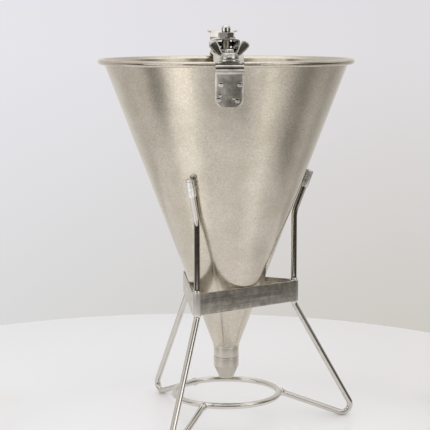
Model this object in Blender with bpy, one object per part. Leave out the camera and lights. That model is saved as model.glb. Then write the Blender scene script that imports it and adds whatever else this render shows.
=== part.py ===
"""Pancake batter dispenser: a steel funnel with a lever that lifts a plug, standing in a bent-wire stand.

Metres, +Z up. The origin is on the table, under the middle of the object's box. The front, with the
clamp bracket and its wing nut, faces -Y; the handle and the thumb pad of the lever are at +Y.
Pieces are drawn about the funnel's own axis and parented to an empty that stands on that axis.
"""
import math

import bmesh
import bpy
from mathutils import Matrix, Vector

GAP = 0.0003                    # clear space between pieces that touch

# Where the funnel's axis stands, so that the object's box is centred on the origin
AXIS_X = -0.00171
AXIS_Y = -0.01674

# Funnel: spun sheet with a rolled rim
RIM_RADIUS = 0.1000             # outside of the rolled rim
BEAD_RADIUS = 0.0022            # the roll itself
BEAD_HEIGHT = 0.2873            # centre of the roll above the table
BEAD_LIP = 0.0011               # the roll leaves the wall this far under its centre
CONE_HALF_ANGLE = math.radians(20.7)
SHEET = 0.0010
OUTLET_RADIUS = 0.0100          # outside of the cone where it meets the collar
CONE_STEPS = 96
WALL_TOP_RADIUS = RIM_RADIUS - 2 * BEAD_RADIUS
CONE_SLOPE = math.tan(CONE_HALF_ANGLE)
SHEET_ACROSS = SHEET / math.cos(CONE_HALF_ANGLE)
CONE_BOTTOM = BEAD_HEIGHT - (WALL_TOP_RADIUS - OUTLET_RADIUS) / CONE_SLOPE
RIM_NOTCH_DEPTH = 0.0013        # the rolled rim is cut away this far under its centre, for the bracket

# Outlet collar and the nozzle that screws onto it
COLLAR_BORE = 0.0070
COLLAR_HEIGHT = 0.0082
COLLAR_NECK = 0.0097            # radius of the shallow groove under the weld
NECK_HEIGHT = 0.0007
NECK_SLOPE = 0.0005
SPIGOT_RADIUS = 0.0084
SPIGOT_LENGTH = 0.0040
NOZZLE_RADIUS = 0.0100
NOZZLE_STRAIGHT = 0.0074
NOZZLE_TAPER = 0.0103
NOZZLE_TIP_RADIUS = 0.0053
NOZZLE_BORE = 0.0040
NOZZLE_MOUTH = 0.0020           # straight part of the bore at the tip
GASKET_THICKNESS = 0.0012
SMALL_CHAMFER = 0.0003

# Stand: one wire thickness throughout
WIRE_RADIUS = 0.0024
WIRE_SIDES = 12
STAND_TURN = math.radians(94.35)        # of the right-hand leg, from the front towards +X
RING_RADIUS = 0.0420
RING_HEIGHT = 0.0218
RING_STEPS = 60
UPRIGHT_RADIUS = 0.0545         # of the uprights about the funnel's axis
FOOT_BEND_RADIUS = 0.0065
FOOT_BEND_REACH = 0.0948        # centre of the foot bend from the axis
FOOT_BEND_STEP = math.radians(15)       # between the points of the foot bend
KNEE_BEND_RADIUS = 0.0100
KNEE_UNDER_BAND = 0.0015
TIP_BEND_RADIUS = 0.0250
TIP_HEIGHT = 0.2005
BAND_HEIGHT = 0.0167
BAND_SHEET = 0.0010
SLEEVE_RADIUS = 0.0035
SLEEVE_WALL = 0.0008
SLEEVE_LENGTH = 0.0145
SLEEVE_CROWN = 0.0016           # height of the sleeve's round end

# Quarter-inch screws and nuts
SCREW_RADIUS = 0.003175
JAM_NUT_FLATS = 0.0111
JAM_NUT_HEIGHT = 0.0041
LIFT_NUT_TURN = math.radians(9)         # one of its corners points to the front, turned this far to +X
SCREW_CLEARANCE = 0.0004

# Front bracket, stud, washer and wing nut
BRACKET_HALF = 0.0098
BRACKET_SHEET = 0.0010
BRACKET_LOW = 0.2567
BRACKET_CORNER = 0.0055
BRACKET_ROLL = 0.0013           # bend radius from the tab down past the rim
BRACKET_BULGE = 0.0018          # bend radius from there in under the rim
BRACKET_KINK = 0.0008           # bend radius where the bracket leaves the wall
BRACKET_UPRIGHT = 0.0006        # straight part between the two bends
WALL_LEAVE = 0.0020             # a strip is flat once it stands this far off the wall
TAB_END = 0.0100                # how far the tab runs on past the stud
STUD_REACH = 0.0860             # from the funnel's axis
STUD_TOP = 0.2982
STUD_HEAD_RADIUS = 0.0050
STUD_HEAD_HEIGHT = 0.0012
STUD_CHAMFER = 0.0006
WELD_BUTTON_RADIUS = 0.0016
WELD_BUTTON_HEIGHT = 0.0006
WELD_BUTTONS = ((-0.0074, 0.2729), (0.0062, 0.2731), (-0.0058, 0.2607), (0.0076, 0.2620))
WASHER_RADIUS = 0.0079
WASHER_THICKNESS = 0.0012
WING_HUB_RADIUS = 0.0070
WING_HUB_TOP_RADIUS = 0.0056
WING_HUB_TOP = 0.2955
WING_FOOT_HEIGHT = 0.0012       # straight part at the hub's foot
WING_SHOULDER = 0.0008          # chamfer round the hub's top
WING_ROOT = 0.0045              # a wing starts this far from the stud's middle, inside the hub
WING_SPREAD = 0.0145
WING_TOP = 0.3045
WING_THICKNESS = 0.0026
WING_EDGE = 0.0004
WING_UNDER = ((WING_ROOT, 0.2926), (0.0070, 0.2933), (0.0115, 0.2968), (0.0134, 0.2985))
WING_TIP = ((WING_SPREAD, 0.3009), (0.0134, 0.3026), (0.0105, WING_TOP), (0.0092, 0.3043))
WING_INSIDE = ((0.0078, 0.3015), (0.0067, 0.2995), (0.0060, 0.2975), (WING_ROOT, 0.2950))

# Strap across the mouth
BRIDGE_HALF = 0.0104
BRIDGE_SHEET = 0.0015
BRIDGE_TOP = 0.2944
BRIDGE_FRONT = -0.0955
BRIDGE_CORNER = 0.0050
BRIDGE_BEND = 0.0050
BRIDGE_RISE = (-0.0768, -0.0620)
BRIDGE_DROP = 0.0896
HOOK_END = math.radians(-62)

# Lever and its hinge
PIVOT_Y = 0.0820
PIVOT_Z = 0.2995
PIN_RADIUS = 0.0020
PIN_HEAD_RADIUS = 0.0032
PIN_HEAD_HEIGHT = 0.0012
EAR_RADIUS = 0.0034
EAR_TIP = 0.0004                # half the flat at the top of an ear
SADDLE_HALF = 0.0088
SADDLE_SHEET = 0.0015
SADDLE_LENGTH = 0.0140
SADDLE_BEND = 0.0015
SADDLE_RIVET_PITCH = 0.0080
RIVET_RADIUS = 0.0016
RIVET_HEAD_RADIUS = 0.0027
RIVET_HEAD_HEIGHT = 0.0012
LEVER_HALF = 0.0104
LEVER_SHEET = 0.0012
LEVER_CROWN = 0.0010
LEVER_CORNER = 0.0010           # where the web turns down into a flange
LEVER_TOP = 0.3052
LEVER_FRONT = -0.0140
LEVER_BACK = 0.0965
LEVER_NOSE = 0.0060             # radius of the flanges' front corner
HEEL_TURN = math.radians(50)    # the flanges' heel is round about the hinge for this far
LEVER_TAIL_DEPTH = 0.0032       # of the flanges at the lever's back end
LEVER_STATIONS = (0.0200, 0.0500)
TAIL_OVERLAP = 0.0080           # the tail starts this far inside the channel
TAIL_TURN = LEVER_BACK + 0.0020
TAIL_RUN = 0.0045               # length of the rise from the web to the pad
TAIL_CROWN = 0.0003
SHOULDER_HALF = 0.0088          # where the tail is narrowest, under the pad
SHOULDER_SPAN = 0.45            # share of the rise at full width, and again while the tail narrows
PAD_TOP = 0.3110
PAD_HALF = 0.0121
PAD_BACK = 0.1225
PAD_CORNER = 0.0050
PAD_LIP = 0.0016                # how far the pad's end turns down
PAD_LIP_RUN = 0.0035
ROD_SLOT_RUN = 0.0018           # half the straight part of the slot for the rod

# Plunger
ROD_TOP = 0.3156
ROD_DOME = 0.0022               # height of the rod's round end
ROD_CHAMFER = 0.0005
ROD_BELOW_NUT = 0.0008
BUSH_RADIUS = 0.0060
BUSH_BORE = 0.0035
BUSH_FLANGE_RADIUS = 0.0085
BUSH_FLANGE_HEIGHT = 0.0016
BUSH_BOTTOM = 0.2830
BUSH_NUT_FLATS = 0.0140
BUSH_NUT_HEIGHT = 0.0026
SPRING_LENGTH = 0.0400
SPRING_WIRE = 0.0014
SPRING_TURNS = 8
SPRING_RADIUS = 0.0052
SPRING_POINTS = 10
SPRING_COLLAR_RADIUS = 0.0070
SPRING_COLLAR_HEIGHT = 0.0045
CROSS_PIN_RADIUS = 0.0012
CROSS_PIN_LENGTH = 0.0120
COLLAR_CHAMFER = 0.0004
PLUG_BOTTOM = 0.0665
PLUG_HEIGHT = 0.0100
PLUG_CHAMFER = 0.0010
PLUG_SHOULDER = (0.0018, 0.0020)        # round of the plug's shoulder: inwards and up
PLUG_CROWN = 0.0015             # the plug's top rises this far to its middle
PLUG_TOP_WIDTH = 0.0040         # flat left round the rod at the plug's top

# D-shaped handle at the back
HANDLE_HALF = 0.0110
HANDLE_SHEET = 0.0020
HANDLE_FOOT = 0.0160
HANDLE_TOP = 0.2740
HANDLE_LOW = 0.1900
HANDLE_REACH_TOP = 0.1380
HANDLE_REACH_LOW = 0.1140
HANDLE_BEND = 0.0130
HANDLE_FOOT_BEND = 0.0035
HANDLE_CORNER = 0.0060

DRILL_LENGTH = 0.0100           # of the cutters for holes through sheet
CROSS_DRILL_LENGTH = 0.0300     # of the cutters for holes right across the lever


def cone_radius(height):
    """Outside radius of the cone at a height above the table."""
    return WALL_TOP_RADIUS - (BEAD_HEIGHT - height) * CONE_SLOPE


def cone_height(radius):
    """Height above the table at which the cone's outside has this radius."""
    return BEAD_HEIGHT - (WALL_TOP_RADIUS - radius) / CONE_SLOPE


def wall_point(height, clear):
    """A point this far outside the cone's wall, square to it, level with the wall at height."""
    return (cone_radius(height) + clear / math.cos(CONE_HALF_ANGLE), height)


# Heights that follow from the fits
BAND_INSIDE = UPRIGHT_RADIUS / 2 + WIRE_RADIUS + GAP
BAND_TOP = cone_height(BAND_INSIDE - GAP)
BAND_BOTTOM = BAND_TOP - BAND_HEIGHT
TIP_CLEAR = (SLEEVE_RADIUS + GAP) / math.cos(CONE_HALF_ANGLE)
TIP_BEND_HEIGHT = cone_height(UPRIGHT_RADIUS - TIP_CLEAR)
TAB_BOTTOM = BEAD_HEIGHT - RIM_NOTCH_DEPTH + GAP
LEVER_FLANGE = LEVER_TOP - BRIDGE_TOP - GAP
HEEL_RADIUS = PIVOT_Z - BRIDGE_TOP - GAP
CLAMP_BOTTOM = TAB_BOTTOM + BRACKET_SHEET + GAP
WASHER_BOTTOM = CLAMP_BOTTOM + BRIDGE_SHEET + GAP
WING_BOTTOM = WASHER_BOTTOM + WASHER_THICKNESS + GAP
BRIDGE_BOTTOM = BRIDGE_TOP - BRIDGE_SHEET
COLLAR_TOP = CONE_BOTTOM - GAP
COLLAR_BOTTOM = COLLAR_TOP - COLLAR_HEIGHT
NOZZLE_TOP = COLLAR_BOTTOM - GAP
NOZZLE_SHOULDER = NOZZLE_TOP - NOZZLE_STRAIGHT
NOZZLE_BOTTOM = NOZZLE_SHOULDER - NOZZLE_TAPER
SPIGOT_BOTTOM = COLLAR_BOTTOM - SPIGOT_LENGTH
SEAT_FLOOR = SPIGOT_BOTTOM - GASKET_THICKNESS - 2 * GAP
SPRING_TOP = BUSH_BOTTOM - GAP
SPRING_COLLAR_TOP = SPRING_TOP - SPRING_LENGTH - GAP
SPRING_COLLAR_BOTTOM = SPRING_COLLAR_TOP - SPRING_COLLAR_HEIGHT


def metal(name, color, roughness, metallic=1.0):
    """A Principled material."""
    material = bpy.data.materials.new(name)
    material.use_nodes = True
    shader = material.node_tree.nodes["Principled BSDF"]
    shader.inputs["Base Color"].default_value = (*color, 1.0)
    shader.inputs["Roughness"].default_value = roughness
    shader.inputs["Metallic"].default_value = metallic
    material.diffuse_color = (*color, 1.0)
    return material


def build_object(name, bm, material, parent, location=(0, 0, 0), rotation=(0, 0, 0)):
    """One named object from a bmesh, shaded smooth except at its sharp edges."""
    bmesh.ops.recalc_face_normals(bm, faces=bm.faces)
    mesh = bpy.data.meshes.new(name)
    bm.to_mesh(mesh)
    bm.free()
    mesh.materials.append(material)
    mesh.shade_smooth()
    mesh.set_sharp_from_angle(angle=math.radians(35))
    obj = bpy.data.objects.new(name, mesh)
    bpy.context.scene.collection.objects.link(obj)
    obj.parent = parent
    obj.location = location
    obj.rotation_euler = rotation
    return obj


def frame(name, parent=None, location=(0, 0, 0), rotation=(0, 0, 0)):
    """An empty that carries pieces."""
    empty = bpy.data.objects.new(name, None)
    bpy.context.scene.collection.objects.link(empty)
    empty.parent = parent
    empty.location = location
    empty.rotation_euler = rotation
    return empty


def combine(obj, bm, operation, suffix):
    """Joins a second shape to an object, or cuts it away, with the second shape kept as a hidden guide."""
    guide = build_object(obj.name + suffix, bm, obj.data.materials[0], obj.parent, obj.location,
                         obj.rotation_euler)
    guide.hide_render = True
    guide.display_type = 'WIRE'
    modifier = obj.modifiers.new(suffix.strip("_"), 'BOOLEAN')
    modifier.operation = operation
    modifier.object = guide
    return guide


def arc(centre, radius, start, end, steps):
    """Points on an arc about a 2D centre, from one angle to another."""
    angles = [start + (end - start) * i / steps for i in range(steps + 1)]
    return [(centre[0] + radius * math.cos(a), centre[1] + radius * math.sin(a)) for a in angles]


def rounded(points, radii, steps=4):
    """A 2D path with an arc of the given radius at each inner corner; a radius of 0 keeps the corner."""
    path = [points[0]]
    for before, corner, after, radius in zip(points, points[1:], points[2:], radii):
        if radius == 0:
            path.append(corner)
            continue
        back = (Vector(before) - Vector(corner)).normalized()
        on = (Vector(after) - Vector(corner)).normalized()
        half = math.acos(max(-1.0, min(1.0, back.dot(on)))) / 2
        centre = Vector(corner) + (back + on).normalized() * radius / math.sin(half)
        first = Vector(corner) + back * radius / math.tan(half) - centre
        last = Vector(corner) + on * radius / math.tan(half) - centre
        start = math.atan2(first.y, first.x)
        turn = (math.atan2(last.y, last.x) - start + math.pi) % (2 * math.pi) - math.pi
        path += arc(centre, radius, start, start + turn, steps)
    return path + [points[-1]]


def turned(profile, steps=48, hollow=True):
    """A turned body: a (radius, height) outline spun about Z; if not hollow it runs from axis to axis."""
    bm = bmesh.new()
    verts = [bm.verts.new((radius, 0, height)) for radius, height in profile]
    ends = verts[1:] + verts[:1] if hollow else verts[1:]
    edges = [bm.edges.new(pair) for pair in zip(verts, ends)]
    bmesh.ops.spin(bm, geom=verts + edges, cent=(0, 0, 0), axis=(0, 0, 1), angle=2 * math.pi,
                   steps=steps, use_merge=True)
    bmesh.ops.remove_doubles(bm, verts=bm.verts, dist=0.000001)
    return bm


def stacked(loops, ring=False):
    """A body through loops of points, one after the other; a ring closes on itself, others get end faces."""
    bm = bmesh.new()
    rows = [[bm.verts.new(point) for point in loop] for loop in loops]
    for row, above in zip(rows, rows[1:] + rows[:1] if ring else rows[1:]):
        for i in range(len(row)):
            bm.faces.new((row[i - 1], row[i], above[i], above[i - 1]))
    if not ring:
        bm.faces.new(rows[0])
        bm.faces.new(list(reversed(rows[-1])))
    return bm


def swept(path, sections):
    """A body along a path in the YZ plane, with a section at each point.

    A section is a loop of (across, out) points: across is X, out is to the left of the path's direction.
    """
    points = [Vector(point) for point in path]
    ways = [(b - a).normalized() for a, b in zip(points, points[1:])]
    loops = []
    for i, (point, section) in enumerate(zip(points, sections)):
        before = ways[max(i - 1, 0)]
        after = ways[min(i, len(ways) - 1)]
        mitre = Vector((-before.y - after.y, before.x + after.x)).normalized()
        mitre /= mitre.dot(Vector((-after.y, after.x)))
        loops.append([(across, point.x + out * mitre.x, point.y + out * mitre.y) for across, out in section])
    return stacked(loops)


def wire_section(radius=WIRE_RADIUS, sides=WIRE_SIDES):
    """The wire's section, with a flat at top and bottom."""
    return [(radius * math.cos(a), radius * math.sin(a))
            for a in (2 * math.pi * (i + 0.5) / sides for i in range(sides))]


def sheet_section(half, thickness, crown=0.0, columns=1):
    """A strip's section about its middle layer; crown is how far its sides drop below its middle."""
    spots = [-half + 2 * half * i / columns for i in range(columns + 1)]
    top = [(x, thickness / 2 - crown * (x / half) ** 2) for x in spots]
    return top + [(x, out - thickness) for x, out in reversed(top)]


def end_widths(path, half, corner, at_start=False, at_end=False):
    """Half widths along a path whose ends have rounded corners."""
    points = [Vector(point) for point in path]
    lengths = [0.0]
    for a, b in zip(points, points[1:]):
        lengths.append(lengths[-1] + (b - a).length)
    widths = []
    for run in lengths:
        reach = min(run if at_start else corner, lengths[-1] - run if at_end else corner, corner)
        widths.append(half - corner + math.sqrt(corner ** 2 - (corner - reach) ** 2))
    return widths


def with_corner_points(path, corner, at_start=False, at_end=False, steps=4):
    """Adds points along the straight ends of a path, where rounded corners need them."""
    cuts = [corner * (1 - math.cos(math.pi / 2 * i / steps)) for i in range(1, steps + 1)]
    first = []
    last = []
    if at_start:
        start = Vector(path[0])
        way = (Vector(path[1]) - start).normalized()
        first = [tuple(start + way * cut) for cut in cuts]
    if at_end:
        end = Vector(path[-1])
        way = (Vector(path[-2]) - end).normalized()
        last = [tuple(end + way * cut) for cut in reversed(cuts)]
    return [path[0]] + first + list(path[1:-1]) + last + [path[-1]]


def plate(outline, thickness):
    """A flat plate: an (x, z) outline, thickened along Y about its middle."""
    bm = bmesh.new()
    face = bm.faces.new([bm.verts.new((x, -thickness / 2, z)) for x, z in outline])
    made = bmesh.ops.extrude_face_region(bm, geom=[face])
    moved = [item for item in made["geom"] if isinstance(item, bmesh.types.BMVert)]
    bmesh.ops.translate(bm, verts=moved, vec=(0, thickness, 0))
    return bm


def drill(radius, length, centre, along_x=False, steps=24):
    """A cutter: a cylinder of this length about a centre, upright or lying along X."""
    top = length / 2
    bm = turned([(0, top), (radius, top), (radius, -top), (0, -top)], steps, False)
    if along_x:
        bmesh.ops.rotate(bm, verts=bm.verts, cent=(0, 0, 0),
                         matrix=Matrix(((0, 0, 1), (0, 1, 0), (-1, 0, 0))))
    bmesh.ops.translate(bm, verts=bm.verts, vec=centre)
    return bm


def block(low, high):
    """A box between two corners."""
    bm = bmesh.new()
    bmesh.ops.create_cube(bm, size=1.0)
    size = Vector(high) - Vector(low)
    bmesh.ops.scale(bm, verts=bm.verts, vec=size)
    bmesh.ops.translate(bm, verts=bm.verts, vec=Vector(low) + size / 2)
    return bm


def hex_nut(flats, height, bore, sides=24):
    """A hexagon nut standing on z = 0, with its corners chamfered top and bottom."""
    def loop(level, radius_of):
        spots = [2 * math.pi * i / sides for i in range(sides)]
        return [(radius_of(a) * math.cos(a), radius_of(a) * math.sin(a), level) for a in spots]

    def hexagon(angle):
        return flats / 2 / math.cos((angle + math.pi / 6) % (math.pi / 3) - math.pi / 6)

    def chamfered(angle):
        return min(hexagon(angle), flats / 2 * 1.03)

    chamfer = flats * 0.05
    return stacked([loop(0, lambda a: bore), loop(0, chamfered), loop(chamfer, hexagon),
                    loop(height - chamfer, hexagon), loop(height, chamfered),
                    loop(height, lambda a: bore)], True)


def tangent_angle(point, centre, radius, side):
    """Angle on a circle where the line from an outside point touches it; side is 1 or -1."""
    away = Vector(point) - Vector(centre)
    return math.atan2(away.y, away.x) + side * math.acos(radius / away.length)


def leg_path():
    """The wire's middle line from the bottom ring to the tip, as (distance from the axis, height)."""
    half_step = FOOT_BEND_STEP / 2
    foot_height = FOOT_BEND_RADIUS * math.cos(half_step) + WIRE_RADIUS * math.cos(math.pi / WIRE_SIDES)
    foot = (FOOT_BEND_REACH, foot_height)
    ring = (RING_RADIUS, RING_HEIGHT)
    knee = (UPRIGHT_RADIUS, BAND_BOTTOM - KNEE_UNDER_BAND)
    start = tangent_angle(ring, foot, FOOT_BEND_RADIUS, 1) - 2 * math.pi
    end = tangent_angle(knee, foot, FOOT_BEND_RADIUS, -1)
    angles = [start]
    step = -math.pi / 2 - half_step
    while step < end - half_step:
        if step > start + half_step / 2:
            angles.append(step)
        step += 2 * half_step
    angles.append(end)
    bend = [arc(foot, FOOT_BEND_RADIUS, a, a, 1)[0] for a in angles]
    way = (Vector(bend[0]) - Vector(ring)).normalized()
    first = tuple(Vector(ring) + way * (WIRE_RADIUS + GAP))
    tip = (UPRIGHT_RADIUS + (TIP_HEIGHT - TIP_BEND_HEIGHT) * CONE_SLOPE, TIP_HEIGHT)
    upper = rounded([bend[-1], knee, (UPRIGHT_RADIUS, TIP_BEND_HEIGHT), tip],
                    [KNEE_BEND_RADIUS, TIP_BEND_RADIUS])
    return [first] + bend + upper[1:]


def tip_sleeve():
    """Soft cap over a wire's tip, open at its lower end; its own Z runs along the wire."""
    inside = WIRE_RADIUS + GAP
    top = SLEEVE_LENGTH
    dome = [(SLEEVE_RADIUS * math.cos(a), top - SLEEVE_CROWN + SLEEVE_CROWN * math.sin(a))
            for a in (math.pi / 2 * i / 4 for i in range(3, -1, -1))]
    ceiling = top - SLEEVE_WALL - GAP
    profile = [(0, top)] + dome + [(SLEEVE_RADIUS, 0), (inside, 0), (inside, ceiling), (0, ceiling)]
    return turned(profile, 20, False)


def band_outline(clear):
    """Plan of a belt pulled round the three uprights, this far from their middles."""
    outline = []
    for leg in range(3):
        turn = STAND_TURN - math.pi / 2 + leg * 2 * math.pi / 3
        centre = (UPRIGHT_RADIUS * math.cos(turn), UPRIGHT_RADIUS * math.sin(turn))
        outline += arc(centre, clear, turn - math.pi / 3, turn + math.pi / 3, 6)
    return outline


def build_stand(root, polished, dark, vinyl):
    """Three bent wires, the bottom ring, the band and the sleeves on the tips."""
    ring = [(RING_RADIUS + across, RING_HEIGHT + out) for across, out in wire_section()]
    build_object("base_ring", turned(ring, RING_STEPS), polished, root)

    outer = band_outline(WIRE_RADIUS + GAP + BAND_SHEET)
    inner = band_outline(WIRE_RADIUS + GAP)
    levels = [(outer, BAND_BOTTOM), (outer, BAND_TOP), (inner, BAND_TOP), (inner, BAND_BOTTOM)]
    loops = [[(x, y, level) for x, y in outline] for outline, level in levels]
    build_object("band", stacked(loops, True), dark, root)

    path = leg_path()
    tip = path[-1]
    for name, leg in (("right", 0), ("rear", 1), ("front", 2)):
        turn = STAND_TURN + math.pi + leg * 2 * math.pi / 3
        leg_frame = frame("leg_frame_" + name, root, rotation=(0, 0, turn))
        build_object("leg_wire_" + name, swept(path, [wire_section()] * len(path)), polished, leg_frame)
        below = SLEEVE_LENGTH - SLEEVE_WALL - 2 * GAP
        base = (0, tip[0] - below * math.sin(CONE_HALF_ANGLE), tip[1] - below * math.cos(CONE_HALF_ANGLE))
        build_object("tip_sleeve_" + name, tip_sleeve(), vinyl, leg_frame, base, (-CONE_HALF_ANGLE, 0, 0))


def build_cone(root, steel):
    """Spun cone with its rolled rim, cut away at the front where the bracket's tab crosses it."""
    bead = arc((RIM_RADIUS - BEAD_RADIUS, BEAD_HEIGHT), BEAD_RADIUS, math.radians(205), math.radians(515), 11)
    profile = [(OUTLET_RADIUS, CONE_BOTTOM), (cone_radius(BEAD_HEIGHT - BEAD_LIP), BEAD_HEIGHT - BEAD_LIP)]
    profile += bead
    profile += [(WALL_TOP_RADIUS - SHEET_ACROSS, BEAD_HEIGHT), (OUTLET_RADIUS - SHEET_ACROSS, CONE_BOTTOM)]
    cone = build_object("funnel_cone", turned(profile, CONE_STEPS), steel, root)
    side = BRACKET_HALF + 2 * GAP
    notch = block((-side, -RIM_RADIUS - BEAD_RADIUS, BEAD_HEIGHT - RIM_NOTCH_DEPTH),
                  (side, TAB_END - STUD_REACH, BEAD_HEIGHT + 2 * BEAD_RADIUS))
    combine(cone, notch, 'DIFFERENCE', "_rim_notch")


def build_outlet(root, steel, polished, rubber):
    """Collar under the cone, and the nozzle with its gasket screwed onto it."""
    neck = COLLAR_TOP - NECK_HEIGHT
    collar = [(COLLAR_BORE, COLLAR_TOP), (COLLAR_NECK, COLLAR_TOP), (COLLAR_NECK, neck),
              (OUTLET_RADIUS, neck - NECK_SLOPE), (OUTLET_RADIUS, COLLAR_BOTTOM + SMALL_CHAMFER),
              (OUTLET_RADIUS - SMALL_CHAMFER, COLLAR_BOTTOM), (SPIGOT_RADIUS, COLLAR_BOTTOM),
              (SPIGOT_RADIUS, SPIGOT_BOTTOM + SMALL_CHAMFER), (SPIGOT_RADIUS - SMALL_CHAMFER, SPIGOT_BOTTOM),
              (COLLAR_BORE, SPIGOT_BOTTOM)]
    build_object("outlet_collar", turned(collar), polished, root)

    seat = SPIGOT_RADIUS + GAP
    nozzle = [(seat, NOZZLE_TOP), (NOZZLE_RADIUS - SMALL_CHAMFER, NOZZLE_TOP),
              (NOZZLE_RADIUS, NOZZLE_TOP - SMALL_CHAMFER), (NOZZLE_RADIUS, NOZZLE_SHOULDER),
              (NOZZLE_TIP_RADIUS, NOZZLE_BOTTOM + SMALL_CHAMFER),
              (NOZZLE_TIP_RADIUS - SMALL_CHAMFER, NOZZLE_BOTTOM), (NOZZLE_BORE, NOZZLE_BOTTOM),
              (NOZZLE_BORE, NOZZLE_BOTTOM + NOZZLE_MOUTH), (COLLAR_BORE, NOZZLE_SHOULDER - SMALL_CHAMFER),
              (COLLAR_BORE, SEAT_FLOOR), (seat, SEAT_FLOOR)]
    nozzle_frame = frame("nozzle_axis", root)
    build_object("nozzle", turned(nozzle), polished, nozzle_frame)
    low = SEAT_FLOOR + GAP
    high = low + GASKET_THICKNESS
    inner = COLLAR_BORE + SMALL_CHAMFER
    gasket = [(inner, low), (SPIGOT_RADIUS, low), (SPIGOT_RADIUS, high), (inner, high)]
    build_object("nozzle_gasket", turned(gasket, 32), rubber, nozzle_frame)


def build_bracket(front, polished):
    """Strip welded up the front of the cone, rolled round the rim's place into a level tab.

    It is drawn with +Y outwards; its frame turns it to the front.
    """
    middle = BRACKET_SHEET / 2
    low = wall_point(BRACKET_LOW, GAP + middle)
    roll = RIM_RADIUS + GAP + middle
    tab = TAB_BOTTOM + middle
    roll_foot = tab - BRACKET_ROLL - BRACKET_UPRIGHT - BRACKET_BULGE
    leave = wall_point(roll_foot, GAP + middle)
    corners = [low, leave, (roll, roll_foot), (roll, tab), (STUD_REACH - TAB_END, tab)]
    path = rounded(corners, [BRACKET_KINK, BRACKET_BULGE, BRACKET_ROLL], 5)
    path = with_corner_points(path, BRACKET_CORNER, at_start=True, at_end=True)
    widths = end_widths(path, BRACKET_HALF, BRACKET_CORNER, at_start=True, at_end=True)
    sections = [sheet_section(half, BRACKET_SHEET, -wall_crown(point, half, middle), 5)
                for point, half in zip(path, widths)]
    bracket = build_object("front_bracket", swept(path, sections), polished, front)
    hole = drill(SCREW_RADIUS + SCREW_CLEARANCE, DRILL_LENGTH, (0, STUD_REACH, tab))
    combine(bracket, hole, 'DIFFERENCE', "_stud_hole")

    dome = [(0, WELD_BUTTON_HEIGHT), (WELD_BUTTON_RADIUS * 0.6, WELD_BUTTON_HEIGHT * 0.8),
            (WELD_BUTTON_RADIUS, 0), (WELD_BUTTON_RADIUS, -BRACKET_SHEET / 2), (0, -BRACKET_SHEET / 2)]
    for number, (x, height) in enumerate(WELD_BUTTONS):
        reach, height = wall_point(height, GAP + BRACKET_SHEET * 0.9)
        button = turned(dome, 12, False)
        bmesh.ops.rotate(button, verts=button.verts, cent=(0, 0, 0), matrix=rotation_to_wall())
        bmesh.ops.translate(button, verts=button.verts, vec=(x, reach - x ** 2 / (2 * reach), height))
        combine(bracket, button, 'UNION', "_weld_button_%d" % number)


def wall_crown(point, half, middle):
    """How far the sides of a strip drop so that it follows the cone; none once it has left the wall."""
    reach, height = point
    off = (reach - cone_radius(height)) * math.cos(CONE_HALF_ANGLE) - GAP - middle
    share = max(0.0, 1.0 - abs(off) / WALL_LEAVE)
    return share * half ** 2 / (2 * reach) * math.cos(CONE_HALF_ANGLE)


def rotation_to_wall():
    """Turns +Z to point square out of the cone's wall, on the side that faces +Y."""
    c = math.cos(CONE_HALF_ANGLE)
    s = math.sin(CONE_HALF_ANGLE)
    return Matrix(((1, 0, 0), (0, -s, c), (0, -c, -s)))


def build_clamp(front, polished):
    """Stud on the bracket's tab, washer and wing nut."""
    head = TAB_BOTTOM - GAP
    stud = [(0, STUD_TOP), (SCREW_RADIUS - STUD_CHAMFER, STUD_TOP), (SCREW_RADIUS, STUD_TOP - STUD_CHAMFER),
            (SCREW_RADIUS, head), (STUD_HEAD_RADIUS, head), (STUD_HEAD_RADIUS, head - STUD_HEAD_HEIGHT),
            (0, head - STUD_HEAD_HEIGHT)]
    build_object("clamp_stud", turned(stud, 24, False), polished, front, (0, STUD_REACH, 0))

    bore = SCREW_RADIUS + SCREW_CLEARANCE
    washer = [(bore, WASHER_BOTTOM), (WASHER_RADIUS, WASHER_BOTTOM),
              (WASHER_RADIUS, WASHER_BOTTOM + WASHER_THICKNESS), (bore, WASHER_BOTTOM + WASHER_THICKNESS)]
    build_object("clamp_washer", turned(washer, 32), polished, front, (0, STUD_REACH, 0))

    hub = [(bore, WING_BOTTOM), (WING_HUB_RADIUS, WING_BOTTOM),
           (WING_HUB_RADIUS, WING_BOTTOM + WING_FOOT_HEIGHT),
           (WING_HUB_TOP_RADIUS + WING_SHOULDER, WING_HUB_TOP - WING_SHOULDER),
           (WING_HUB_TOP_RADIUS, WING_HUB_TOP), (bore, WING_HUB_TOP)]
    wing_frame = frame("wing_nut_axis", front, (0, STUD_REACH, 0))
    wing_nut = build_object("wing_nut", turned(hub, 32), polished, wing_frame)
    for side, suffix in ((1, "_wing_left"), (-1, "_wing_right")):
        outline = [(side * x, z) for x, z in WING_UNDER + WING_TIP + WING_INSIDE]
        guide = combine(wing_nut, plate(outline, WING_THICKNESS), 'UNION', suffix)
        edge = guide.modifiers.new("edges", 'BEVEL')
        edge.width = WING_EDGE
        edge.segments = 2


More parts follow.
